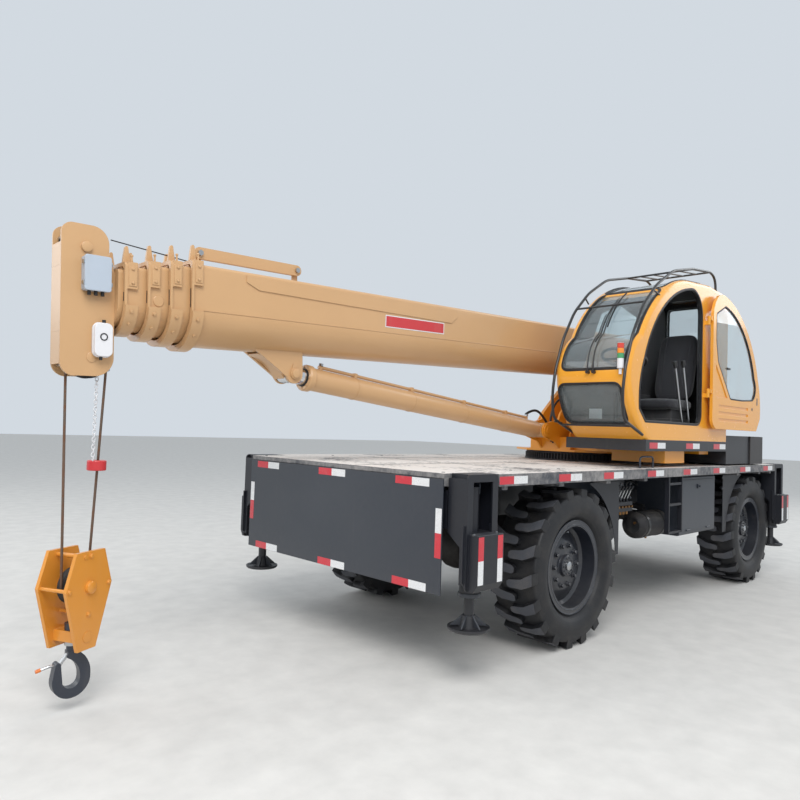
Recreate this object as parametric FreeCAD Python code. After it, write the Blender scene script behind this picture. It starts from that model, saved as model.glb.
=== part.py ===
import FreeCAD, Part
import math
import os

# Two-axle mobile crane with one cab on the slewing upper works and a five-part boom.
# Millimetres. X runs forward, Y to the left, Z up. The origin is on the ground, in the
# middle of the machine's whole length and width. The boom points forward.

V = FreeCAD.Vector
os.makedirs("parts", exist_ok=True)

# Carrier
FRONT_X = 1987.0            # outer face of the front plate
REAR_X = -3913.0            # outer face of the rear plate
DECK_TOP = 1293.0
DECK_PLATE = 8.0
DECK_EDGE = 78.0            # depth of the folded edge
END_PLATE = 8.0
END_PLATE_BOTTOM = 561.0
END_PLATE_TOP = 1259.0
RAIL_IN = 330.0
RAIL_OUT = 420.0
RAIL_BOTTOM = 880.0
RAIL_TOP = 1190.0
RAIL_WALL = 10.0
CROSS_BEARER = 60.0         # width of the bearers between the rails and the deck
PANEL = 5.0
PANEL_BOTTOM = 600.0

# Wheels and axles
FRONT_AXLE_X = 573.0
WHEELBASE = 3625.0
REAR_AXLE_X = FRONT_AXLE_X - WHEELBASE
TYRE_R = 578.0
TYRE_WIDTH = 400.0
LUGS = 36                   # tread bars, from the two shoulders in turn
LUG_HEIGHT = 36.0
LUG_WIDTH = 44.0
TRACK_HALF = 960.0
RIM_SEAT_R = 310.0
RIM_FLANGE_R = 345.0
RIM_FLANGE_T = 12.0
RIM_WIDTH = 310.0
DISC_T = 16.0
HUB_R = 105.0
HUB_BACK = 126.0            # from the wheel's middle plane to the hub's inner face
SPINDLE_R = 48.0
RUNNING_GAP = 0.4
KINGPIN_Y = TRACK_HALF - 220.0
KINGPIN_R = 22.0
AXLE_W = 140.0
AXLE_H = 130.0
WHEEL_Z = TYRE_R
ARCH_R = 640.0              # edge of the side panels round each wheel

# Widths that follow the wheels
DECK_HALF = TRACK_HALF + TYRE_WIDTH / 2 + 60.0      # half width between the outrigger legs
DECK_END_HALF = DECK_HALF - 160.0                   # half width beside the legs

# Outriggers
LEG_PITCH = 188.0           # distance from the end plate to the leg's centre line
LEG_W = 294.0
LEG_IN = DECK_END_HALF + 8.0
LEG_OUT = DECK_HALF
LEG_TOP = 1295.0
LEG_BOTTOM = 605.0
LEG_PLATE = 12.0
LEG_BOX_OUT = LEG_OUT + 70.0
LEG_BOX_TOP = 937.0
LEG_BOX_W = 250.0
BEAM_W = 110.0
BEAM_H = 210.0
BEAM_WALL = 10.0
BEAM_BOTTOM = 968.0
BEAM_PITCH = 70.0           # each beam's distance from the leg's centre line
BEAM_REACH = 1000.0         # how far a beam passes beyond the middle of the machine
HOUSING_WALL = 8.0
BEAM_GAP = 5.0
JACK_Y = LEG_IN + 66.0
JACK_SLEEVE_R = 65.0
JACK_BARREL_R = 42.0
JACK_ROD_R = 32.0
PAD_R = 130.0
PAD_BOTTOM = 345.0

# Slewing ring and turret
SLEW_X = -1413.0
RING_R = 585.0
RING_IN = 505.0
RING_TOP = 1385.0
TEETH = 110
TOOTH_H = 15.0
SLEW_GAP = 5.0
TURRET_BASE = 20.0
TURRET_FRONT = -782.0
TURRET_FRONT_HALF = 279.0
TURRET_HALF = 560.0
CHEEK_IN = 215.0            # inner face of the turret's side plates
CHEEK_T = 16.0
NOSE_IN = 90.0
NOSE_T = 20.0
BEARER_BOTTOM = 1329.0      # lower face of the box bearer under the cab
PLATFORM_BOTTOM = 1440.0
PLATFORM_TOP = 1535.0
PLATFORM_FRONT = -317.0
PLATFORM_REAR = -2116.0
PLATFORM_OUT = DECK_HALF + 5.0
STEP_FRONT = -1520.0        # platform on the right, behind the lift cylinder
STEP_REAR = -1900.0
STEP_OUT = 700.0
WEIGHT_FRONT = -2767.0
WEIGHT_REAR = -3208.0
WEIGHT_TOP = 1602.0
WEIGHT_BOTTOM = 1304.0

# Boom, in its own frame: s along the axis from the foot pin, n square to it
FOOT_X = -2463.0
FOOT_Z = 2445.0
BOOM_DROP = 2.15            # degrees below the level, as parked
FOOT_PIN_R = 45.0
BASE_HALF = 200.0
BASE_H = 470.0
SECTION_STEP = 20.0         # each section is smaller by this on every side
BOOM_WALL = 6.0
BASE_FRONT = 5704.0         # front face of the outer section
COLLAR_PITCH = 120.0        # from one section's front face to the next
MOUTH = 14.0                # thickness of the plate round each mouth
MOUTH_GROW = 16.0           # how far that plate stands out from the section
FLANGE = 70.0               # length of the flange under each mouth
FLANGE_GROW = 30.0
EAR_H = 108.0
SECTION_COUNT = 5
HEAD_BACK = 6086.0
HEAD_FRONT = 6364.0
HEAD_TOP = 371.0
HEAD_BOTTOM = -434.0
HEAD_HALF = 72.0
HEAD_PLATE = 12.0
TOP_SHEAVE = (6238.0, 251.0)
LOW_SHEAVE = (6202.0, -333.0)
SHEAVE_R = 112.0
SHEAVE_HALF = 24.0
GROOVE = 12.0               # depth of the rope wheels' grooves
HEAD_PIN_R = 28.0
ROPE_R = 7.0
LUG_PIN = (4890.0, -364.0)

# Lift cylinder
CYL_BASE = (-560.0, 1588.0)
CYL_R = 80.0
CYL_WALL = 12.0
CYL_ROD_R = 55.0
CYL_EYE_HALF = 50.0
CYL_GAP = 6.0

# Cab
CAB_OUT = PLATFORM_OUT
CAB_IN = CAB_OUT - 685.0
CAB_WALL = 45.0
CAB_ROUND = 50.0            # rounding of the cab's long edges
GLASS = 6.0
DOOR_T = 28.0
DOOR_GAP = 5.0
HINGE_X = -1490.0
HINGE_Y = CAB_OUT + 37.0
HINGE_H = 40.0              # height of one hinge knuckle
HINGE_PIN_R = 6.0
DOOR_HINGES = (1950.0, 2640.0)
RAIL_R = 12.0               # tubes of the guard in front of the cab

# Hook block
BLOCK_TURN = 27.0           # degrees about the vertical, as it hangs
BLOCK_TOP = 851.0
BLOCK_MID = 662.0
BLOCK_BOTTOM = 335.0
BLOCK_HALVES = (99.0, 161.0, 63.0)
BLOCK_HALF_OUT = 102.0
BLOCK_PLATE = 20.0
BLOCK_SHEAVE_R = 95.0
BLOCK_PIN_R = 30.0
HOOK_BOTTOM = 75.0
HOOK_BOWL_R = 44.0


# Shape helpers


def box(x0, x1, y0, y1, z0, z1):
    """Block between two corners given by coordinate ranges in any order."""
    x0, x1 = sorted((x0, x1))
    y0, y1 = sorted((y0, y1))
    z0, z1 = sorted((z0, z1))
    return Part.makeBox(x1 - x0, y1 - y0, z1 - z0, V(x0, y0, z0))


def rod(r, start, end):
    """Round bar from one point to another."""
    a = V(*start)
    b = V(*end)
    return Part.makeCylinder(r, (b - a).Length, a, b - a)


def pipe(r_out, r_in, start, end):
    """Round tube from one point to another."""
    return rod(r_out, start, end).cut(rod(r_in, start, end))


def wire(points, place):
    """Closed wire. A point is (a, b); an arc is ((a, b) on the way, (a, b) at its end)."""
    edges = []
    at = points[0]
    for step in list(points[1:]) + [points[0]]:
        if isinstance(step[0], tuple):
            edges.append(Part.Arc(place(at), place(step[0]), place(step[1])).toShape())
            at = step[1]
        elif step != at:
            edges.append(Part.makeLine(place(at), place(step)))
            at = step
    return Part.Wire(edges)


def plate_xz(points, y0, y1):
    """Outline in X and Z, pushed along Y."""
    w = wire(points, lambda p: V(p[0], min(y0, y1), p[1]))
    return Part.Face(w).extrude(V(0, abs(y1 - y0), 0))


def plate_yz(points, x0, x1):
    """Outline in Y and Z, pushed along X."""
    w = wire(points, lambda p: V(min(x0, x1), p[0], p[1]))
    return Part.Face(w).extrude(V(abs(x1 - x0), 0, 0))


def plate_xy(points, z0, z1):
    """Outline in X and Y, pushed along Z."""
    w = wire(points, lambda p: V(p[0], p[1], min(z0, z1)))
    return Part.Face(w).extrude(V(0, 0, abs(z1 - z0)))


def rounded(a0, a1, b0, b1, r):
    """Outline of a rectangle with round corners."""
    k = r * (1 - math.sqrt(0.5))
    return [(a0 + r, b0), (a1 - r, b0), ((a1 - k, b0 + k), (a1, b0 + r)), (a1, b1 - r),
            ((a1 - k, b1 - k), (a1 - r, b1)), (a0 + r, b1), ((a0 + k, b1 - k), (a0, b1 - r)),
            (a0, b0 + r), ((a0 + k, b0 + k), (a0 + r, b0))]


def lathe_y(points, centre):
    """Outline of (y, r) points turned about the line through centre along Y."""
    w = wire(points, lambda p: V(centre[0], centre[1] + p[0], centre[2] + p[1]))
    return Part.Face(w).revolve(V(*centre), V(0, 1, 0), 360)


def lathe_z(points, centre):
    """Outline of (r, z) points turned about the upright line through centre."""
    w = wire(points, lambda p: V(centre[0] + p[0], centre[1], p[1]))
    return Part.Face(w).revolve(V(centre[0], centre[1], 0), V(0, 0, 1), 360)


def faceted(rows, around):
    """Solid with flat faces between rows of points; around joins the last row to the first."""
    count = len(rows[0])
    faces = []
    for k in range(0 if around else 1, len(rows)):
        a, b = rows[k - 1], rows[k]
        for j in range(count):
            n = (j + 1) % count
            faces.append(Part.Face(Part.makePolygon([a[j], b[j], b[n], a[n], a[j]])))
    if not around:
        for row in (rows[0], rows[-1]):
            faces.append(Part.Face(Part.makePolygon(row + [row[0]])))
    shell = Part.makeShell(faces)
    shell.sewShape()
    solid = Part.makeSolid(shell)
    if solid.Volume < 0:
        solid.reverse()
    return solid


def fuse(shapes):
    """One body from several touching shapes."""
    out = shapes[0]
    if len(shapes) > 1:
        out = out.fuse(shapes[1:])
    return out.removeSplitter()


def mirror(shape):
    """The same shape on the other side of the machine."""
    return shape.mirror(V(0, 0, 0), V(0, 1, 0))


def both(shape):
    """The shape and its mirror image."""
    return [shape, mirror(shape)]


def bent_tube(points, r, bends):
    """Round tube along straight runs, with the radius of the bend at each point between them."""
    pts = [V(*p) for p in points]
    edges = []
    start = pts[0]
    for i in range(1, len(pts) - 1):
        bend = bends[i]
        a = (pts[i - 1] - pts[i]).normalize()
        b = (pts[i + 1] - pts[i]).normalize()
        half = math.acos(max(-1.0, min(1.0, a.dot(b)))) / 2
        run = bend / math.tan(half)
        mid = (a + b).normalize()
        first = pts[i] + a * run
        last = pts[i] + b * run
        centre = pts[i] + mid * (bend / math.sin(half))
        edges.append(Part.makeLine(start, first))
        edges.append(Part.Arc(first, centre - mid * bend, last).toShape())
        start = last
    edges.append(Part.makeLine(start, pts[-1]))
    path = Part.Wire(edges)
    ring = Part.Wire([Part.makeCircle(r, pts[0], pts[1] - pts[0])])
    return path.makePipeShell([ring], True, False)


def save(name, shapes):
    """Write one sub-part, made of one or more solids, to its own file."""
    solids = []
    for shape in shapes:
        solids.extend(shape.Solids)
    out = solids[0] if len(solids) == 1 else Part.makeCompound(solids)
    out.exportStep("parts/%s.step" % name)


# Carrier


def housing_face(end):
    """X of the outrigger housing's inner face at the front (end 1) or rear (end -1)."""
    centre = leg_x(end)
    reach = BEAM_PITCH + BEAM_W / 2 + BEAM_GAP + HOUSING_WALL
    return centre - end * reach


def leg_x(end):
    """X of the legs' centre line at the front (end 1) or rear (end -1)."""
    return FRONT_X - LEG_PITCH if end > 0 else REAR_X + LEG_PITCH


def chassis_frame():
    """Two channel rails, the cross members and the drum under the slewing ring."""
    x0, x1 = housing_face(-1), housing_face(1)
    rail = box(x0, x1, RAIL_IN, RAIL_OUT, RAIL_BOTTOM, RAIL_TOP)
    hollow = box(x0, x1, RAIL_IN, RAIL_OUT - RAIL_WALL, RAIL_BOTTOM + RAIL_WALL, RAIL_TOP - RAIL_WALL)
    parts = both(rail.cut(hollow))
    # cross members: X of the centre
    for x in (1450.0, 150.0, SLEW_X + 420.0, SLEW_X - 420.0, -2450.0, -3500.0):
        parts.append(box(x - 40, x + 40, -RAIL_OUT + RAIL_WALL, RAIL_OUT - RAIL_WALL,
                         RAIL_TOP - 110, RAIL_TOP))
    under = DECK_TOP - DECK_PLATE
    plinth = box(SLEW_X - 620, SLEW_X + 620, -620, 620, RAIL_TOP, RAIL_TOP + 14)
    drum = pipe(RING_R, RING_R - 40, (SLEW_X, 0, RAIL_TOP + 14), (SLEW_X, 0, under))
    return [fuse(parts + [plinth, drum])]


def deck():
    """Flat deck plate, narrower beside the legs, with a folded edge and cross bearers."""
    wide_front = leg_x(1) - LEG_W / 2 - 8
    wide_rear = leg_x(-1) + LEG_W / 2 + 8
    front = FRONT_X - END_PLATE
    rear = REAR_X + END_PLATE

    def outline(inset):
        a, b = DECK_HALF - inset, DECK_END_HALF - inset
        f, r = front - inset, rear + inset
        wf, wr = wide_front - inset, wide_rear + inset
        left = [(f, -b), (f, b), (wf, b), (wf, a), (wr, a), (wr, b), (r, b)]
        return left + [(r, -b), (wr, -b), (wr, -a), (wf, -a), (wf, -b)]

    bottom = DECK_TOP - DECK_EDGE
    slab = plate_xy(outline(0.0), bottom, DECK_TOP)
    slab = slab.cut(plate_xy(outline(DECK_PLATE), bottom, DECK_TOP - DECK_PLATE))
    parts = [slab]
    half = DECK_HALF - 20
    # cross bearers: X of the centre
    for x in (1560.0, 900.0, 240.0, -380.0, -2480.0, -3120.0, -3480.0):
        parts.append(box(x - CROSS_BEARER / 2, x + CROSS_BEARER / 2, -half, half,
                         RAIL_TOP, DECK_TOP - DECK_PLATE))
    return [fuse(parts)]


def end_plates():
    """Upright plates that close the carrier's ends, each on four ribs."""
    out = []
    for end in (1, -1):
        face = FRONT_X if end > 0 else REAR_X
        inner = face - end * END_PLATE
        shape = [box(face, inner, -DECK_END_HALF, DECK_END_HALF, END_PLATE_BOTTOM, END_PLATE_TOP)]
        housing = leg_x(end) + end * (BEAM_PITCH + BEAM_W / 2 + BEAM_GAP + HOUSING_WALL)
        for y in (-860.0, -300.0, 300.0, 860.0):
            shape.append(box(inner, housing, y - 5, y + 5, 700, DECK_TOP - DECK_EDGE - 5))
        out.append(fuse(shape))
    return out


def outrigger_housings():
    """Two square tunnels side by side at each end, one for each beam."""
    out = []
    for end in (1, -1):
        reach = BEAM_PITCH + BEAM_W / 2 + BEAM_GAP
        z0 = BEAM_BOTTOM - BEAM_GAP
        z1 = BEAM_BOTTOM + BEAM_H + BEAM_GAP
        cx = leg_x(end)
        half = LEG_IN - 16
        body = box(cx - reach - HOUSING_WALL, cx + reach + HOUSING_WALL, -half, half,
                   z0 - HOUSING_WALL, z1 + HOUSING_WALL)
        for side in (-1, 1):
            x = cx + side * BEAM_PITCH
            body = body.cut(box(x - BEAM_W / 2 - BEAM_GAP, x + BEAM_W / 2 + BEAM_GAP,
                                -half, half, z0, z1))
        # slide pads under each beam, near both mouths
        pads = [box(cx + side * BEAM_PITCH - 40, cx + side * BEAM_PITCH + 40, y - 35, y + 35,
                    z0, BEAM_BOTTOM - RUNNING_GAP)
                for side in (-1, 1) for y in (-half + 50, half - 50)]
        out.append(fuse([body] + pads))
    return out


def side_panels():
    """Upright panels between the wheels, hung from the bearers and cut round each wheel."""
    top = RAIL_TOP - 0.3
    y0 = DECK_HALF - 120
    y1 = y0 + PANEL
    c = WHEEL_Z

    def arc_point(axle, side, z):
        return axle + side * math.sqrt(ARCH_R ** 2 - (z - c) ** 2)

    out = []
    # panel: axle beside it, side of the axle (-1 behind), X of the far edge
    for axle, side, far in ((FRONT_AXLE_X, -1, -112.0), (REAR_AXLE_X, 1, -2320.0)):
        near_top = arc_point(axle, side, c + 600)
        mid = arc_point(axle, side, c + 330)
        low = arc_point(axle, side, PANEL_BOTTOM)
        pts = [(near_top, top), (near_top, c + 600), ((mid, c + 330), (low, PANEL_BOTTOM)),
               (far, PANEL_BOTTOM), (far, top)]
        out += both(plate_xz(pts, y0, y1))
    return out


def toolbox():
    """Closed box on the left between the ladder and the rear wheel."""
    y0, y1 = DECK_HALF - 480, DECK_HALF - 70
    x0, x1, z0, z1 = -1981.0, -1163.0, 660.0, 1205.0
    body = plate_yz(rounded(y0, y1, z0, z1, 20), x0, x1)
    door = plate_xz(rounded(x0 + 36, x1 - 36, z0 + 40, z1 - 35, 15), y1, y1 + 6)
    hangers = [box(x - 30, x + 30, RAIL_OUT, y0, 1040, 1100) for x in (x0 + 111, x1 - 107)]
    return [fuse([body, door] + hangers)]


def fuel_tank():
    """Tank on the right, on two straps from the rail."""
    y0, y1 = DECK_HALF - 520, DECK_HALF - 90
    x0, x1, z0, z1 = -1960.0, -1100.0, 640.0, 1130.0
    body = plate_yz(rounded(-y1, -y0, z0, z1, 90), x0, x1)
    neck = rod(45, (x1 - 140, -y1 + 130, z1 - 10), (x1 - 140, -y1 + 130, z1 + 35))
    parts = [body, neck]
    for x in (x1 - 190, x0 + 190):
        parts.append(box(x - 30, x + 30, -y0 - 20, -RAIL_OUT, 930, 1010))
    return [fuse(parts)]


def air_tank():
    """Round tank lying along the left side in front of the ladder."""
    x0, x1 = -644.0, -1140.0
    y, z, r = DECK_HALF - 260, 774.0, 115.0
    drum = rod(r, (x0 - 30, y, z), (x1 + 30, y, z))
    ends = [Part.makeCone(r, r - 45, 30, V(x0 - 30, y, z), V(1, 0, 0)),
            Part.makeCone(r, r - 45, 30, V(x1 + 30, y, z), V(-1, 0, 0))]
    parts = [drum] + ends
    for x in (-740.0, -1040.0):
        parts.append(box(x - 20, x + 20, RAIL_OUT, y - r + 12, 880, 930))
        parts.append(box(x - 20, x + 20, y - r - 4, y - r + 24, z - 20, 930))
    return [fuse(parts)]


def ladder():
    """Two stiles and three rungs below the deck's left edge."""
    y = DECK_HALF - DECK_PLATE - 0.3
    top = DECK_TOP - DECK_PLATE - 0.3
    parts = []
    for x in (-812.0, -1076.0):
        parts.append(box(x - 8, x + 8, y - 40, y, 716, top))
    for z in (724.0, 967.0, 1150.0):
        parts.append(box(-812, -1076, y - 36, y - 4, z - 10, z + 10))
    return [fuse(parts)]


def valve_bank():
    """Control valves for the outriggers with a row of hand levers, on the left."""
    x0, x1 = -120.0, -410.0
    y = DECK_HALF - 220
    z0, z1 = 930.0, 1010.0
    parts = [box(x0, x1, y, y + 70, z0, z1), box(x0 - 20, x1 + 20, y - 40, y, z0 - 30, RAIL_TOP - 0.3)]
    count = 5
    for i in range(count):
        x = x0 - 35 - i * (x0 - x1 - 70) / (count - 1)
        parts.append(rod(12, (x, y + 35, z1 - 5), (x, y + 35, z1 + 20)))
        parts.append(rod(6, (x, y + 35, z1 + 18), (x, y + 80, z1 + 110)))
        parts.append(rod(10, (x, y + 76, z1 + 102), (x, y + 92, z1 + 134)))
    return [fuse(parts)]


def engine_block():
    """Engine and gearbox as one plain mass between the rails."""
    parts = [box(60, -640, -290, 290, 640, 1160), box(-640, -960, -210, 210, 680, 1060)]
    for x in (-60.0, -560.0):
        parts.append(box(x - 40, x + 40, -400, 400, RAIL_BOTTOM + RAIL_WALL, 930))
    return [fuse(parts)]


def axle_beam(x, end):
    """Square axle beam with the final drive's round housing in its middle."""
    z = WHEEL_Z
    beam = box(x - AXLE_W / 2, x + AXLE_W / 2, -end, end, z - AXLE_H / 2, z + AXLE_H / 2)
    bowl = lathe_y([(-150, 0), (-150, 90), (-118, 156), (-60, 188), (0, 195), (60, 188), (118, 156),
                    (150, 90), (150, 0)], (x, 0, z))
    nose = Part.makeCone(120, 60, 260, V(x, 0, z), V(-1 if x > 0 else 1, 0, 0))
    return [beam, bowl, nose]


def front_axle():
    """Steered axle: a fork at each end holds the kingpin."""
    x, z = FRONT_AXLE_X, WHEEL_Z
    parts = axle_beam(x, KINGPIN_Y - 90)
    fork = []
    for z0, z1 in ((z - 122, z - 90), (z + 90, z + 122)):
        arm = rod(52, (x, KINGPIN_Y, z0), (x, KINGPIN_Y, z1))
        fork += [arm, box(x - 52, x + 52, KINGPIN_Y - 110, KINGPIN_Y, z0, z1)]
    fork.append(box(x - 60, x + 60, KINGPIN_Y - 120, KINGPIN_Y - 80, z - 122, z + 122))
    one = fuse(fork).cut(rod(KINGPIN_R + RUNNING_GAP, (x, KINGPIN_Y, z - 200), (x, KINGPIN_Y, z + 200)))
    return [fuse(parts + both(one))]


def rear_axle():
    """Rigid axle with a spindle at each end."""
    x, z = REAR_AXLE_X, WHEEL_Z
    flange = TRACK_HALF - HUB_BACK - 8      # outer face of the flange, clear of the hub
    parts = axle_beam(x, flange - 26)
    for s in (-1, 1):
        parts.append(rod(80, (x, s * (flange - 36), z), (x, s * flange, z)))
        parts.append(rod(SPINDLE_R, (x, s * (flange - 6), z), (x, s * (TRACK_HALF + 30), z)))
    return [fuse(parts)]


def knuckle(side):
    """Steering knuckle: kingpin boss, spindle and arm."""
    x, z = FRONT_AXLE_X, WHEEL_Z
    y = KINGPIN_Y
    boss = rod(44, (x, y, z - 84), (x, y, z + 84))
    pin = rod(KINGPIN_R, (x, y, z - 130), (x, y, z + 130))
    flange = rod(80, (x, y + 62, z), (x, y + 86, z))
    neck = rod(60, (x, y, z), (x, y + 70, z))
    spindle = rod(SPINDLE_R, (x, y + 80, z), (x, TRACK_HALF + 30, z))
    arm = plate_xy([(x - 20, y - 20), (x - 20, y + 40), (x - 150, y + 10), (x - 150, y - 30)],
                   z - 60, z - 30)
    whole = fuse([boss, pin, flange, neck, spindle, arm])
    return [whole if side > 0 else mirror(whole)]


def leaf_springs():
    """A leaf pack with its seat and hangers on each side of each axle."""
    out = []
    y0, y1 = RAIL_IN + 5, RAIL_OUT - 5
    seat_z = WHEEL_Z + AXLE_H / 2
    for x in (FRONT_AXLE_X, REAR_AXLE_X):
        low, high, reach = seat_z + 40, seat_z + 175, 520.0
        pack = plate_xz([(x - reach, high), ((x, low), (x + reach, high)),
                         (x + reach, high + 16), (x + 260, high - 18), ((x, low + 66), (x - 260, high - 18)),
                         (x - reach, high + 16)], y0, y1)
        seat = box(x - 60, x + 60, y0, y1, seat_z, low + 20)
        hangers = [plate_xz([(x + s * (reach - 40), high - 10), (x + s * (reach + 20), high - 10),
                             (x + s * (reach + 50), RAIL_BOTTOM), (x + s * (reach - 80), RAIL_BOTTOM)],
                            y0, y1) for s in (-1, 1)]
        out += both(fuse([pack, seat] + hangers))
    return out


def slew_ring():
    """Fixed ring of the slewing bearing on the deck, toothed round its outside."""
    foot = pipe(RING_R + TOOTH_H + 5, RING_IN, (SLEW_X, 0, DECK_TOP), (SLEW_X, 0, DECK_TOP + 14))
    body = pipe(RING_R + 4, RING_IN, (SLEW_X, 0, RING_TOP - 22), (SLEW_X, 0, RING_TOP))
    # corners of one tooth: share of its pitch, radius
    tooth = ((-0.30, RING_R - 6), (-0.17, RING_R + TOOTH_H), (0.17, RING_R + TOOTH_H), (0.30, RING_R - 6))
    points = []
    for i in range(TEETH):
        for share, r in tooth:
            a = 2 * math.pi * (i + share) / TEETH
            points.append((SLEW_X + r * math.cos(a), r * math.sin(a)))
    gear = plate_xy(points, DECK_TOP + 14, RING_TOP - 22)
    gear = gear.cut(rod(RING_IN, (SLEW_X, 0, DECK_TOP), (SLEW_X, 0, RING_TOP)))
    return [fuse([foot, gear, body])]


# Wheels


def tread_bar(side, half, top):
    """Bar from one shoulder to past the tread's middle, slanting across one facet of the tyre."""
    h = TYRE_WIDTH / 2
    low, out = side * (h - 12), side * (h - 24)
    reach = side * -30.0
    w = LUG_WIDTH
    slope = (2 * half - w) / (reach - out)
    k = slope * (low - out)
    foot = top - LUG_HEIGHT
    outer = [V(k - half, low, foot - 78), V(k - half + w, low, foot - 78), V(w - half, out, top), V(-half, out, top)]
    inner = [V(half - w, reach, foot - 10), V(half, reach, foot - 10), V(half, reach, top), V(half - w, reach, top)]
    return faceted([outer, inner], False)


def tyre():
    """Tyre about the origin with one tread bar on each facet."""
    h = TYRE_WIDTH / 2
    bead = RIM_WIDTH / 2 - RIM_FLANGE_T - 0.3
    seat = (RIM_SEAT_R + 0.3) / math.cos(math.pi / LUGS)
    crown = TYRE_R - LUG_HEIGHT
    lip = RIM_FLANGE_R + 5
    side_r = (lip + crown) / 2 - 6
    # outline: distance along the axle, radius
    profile = [(-bead, seat), (-bead, lip), (-h, side_r), (-h + 26, crown), (h - 26, crown), (h, side_r),
               (bead, lip), (bead, seat)]
    step = 2 * math.pi / LUGS
    rows = [[V(r * math.sin(j * step), y, r * math.cos(j * step)) for j in range(LUGS)] for y, r in profile]
    parts = [faceted(rows, True)]
    half = crown * math.tan(step / 2) - 1
    top = math.sqrt(TYRE_R ** 2 - half ** 2)
    for j in range(LUGS):
        bar = tread_bar(1 if j % 2 else -1, half, top)
        bar.rotate(V(0, 0, 0), V(0, 1, 0), math.degrees((j + 0.5) * step))
        parts.append(bar)
    return fuse(parts)


def rim():
    """Rim band, dished disc, hub and brake drum about the origin, outward towards +Y."""
    h = RIM_WIDTH / 2
    s, f, t = RIM_SEAT_R, RIM_FLANGE_R, RIM_FLANGE_T
    band = [(-h, f), (-h + t, f), (-h + t, s), (-40, s - 2), (-20, s - 24), (20, s - 24), (40, s - 2),
            (h - t, s), (h - t, f), (h, f), (h, s - 12), (50, s - 14), (30, s - 36), (-30, s - 36),
            (-50, s - 14), (-h, s - 12)]
    ring = lathe_y(band, (0, 0, 0))
    disc = lathe_y([(20, s - 30), (20 - DISC_T, s - 30), (-40 - DISC_T, 180), (-40 - DISC_T, 0),
                    (-40, 0), (-40, 176), (12, s - 30)], (0, 0, 0))
    hub = rod(HUB_R, (0, -HUB_BACK, 0), (0, -40, 0))
    drum = pipe(215, 203, (0, -150, 0), (0, -64, 0))
    web = pipe(215, 90, (0, -66, 0), (0, -54, 0))
    cap = rod(70, (0, -42, 0), (0, 52, 0))
    bore = rod(SPINDLE_R + RUNNING_GAP, (0, -200, 0), (0, 31, 0))
    return fuse([ring, disc, hub, drum, web, cap]).cut(bore)


def place_wheel(shape, x, side):
    """Put a wheel piece on its axle, outward on either side."""
    copy = shape.copy() if side > 0 else mirror(shape)
    copy.translate(V(x, side * TRACK_HALF, WHEEL_Z))
    return [copy]


# Outriggers


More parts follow.
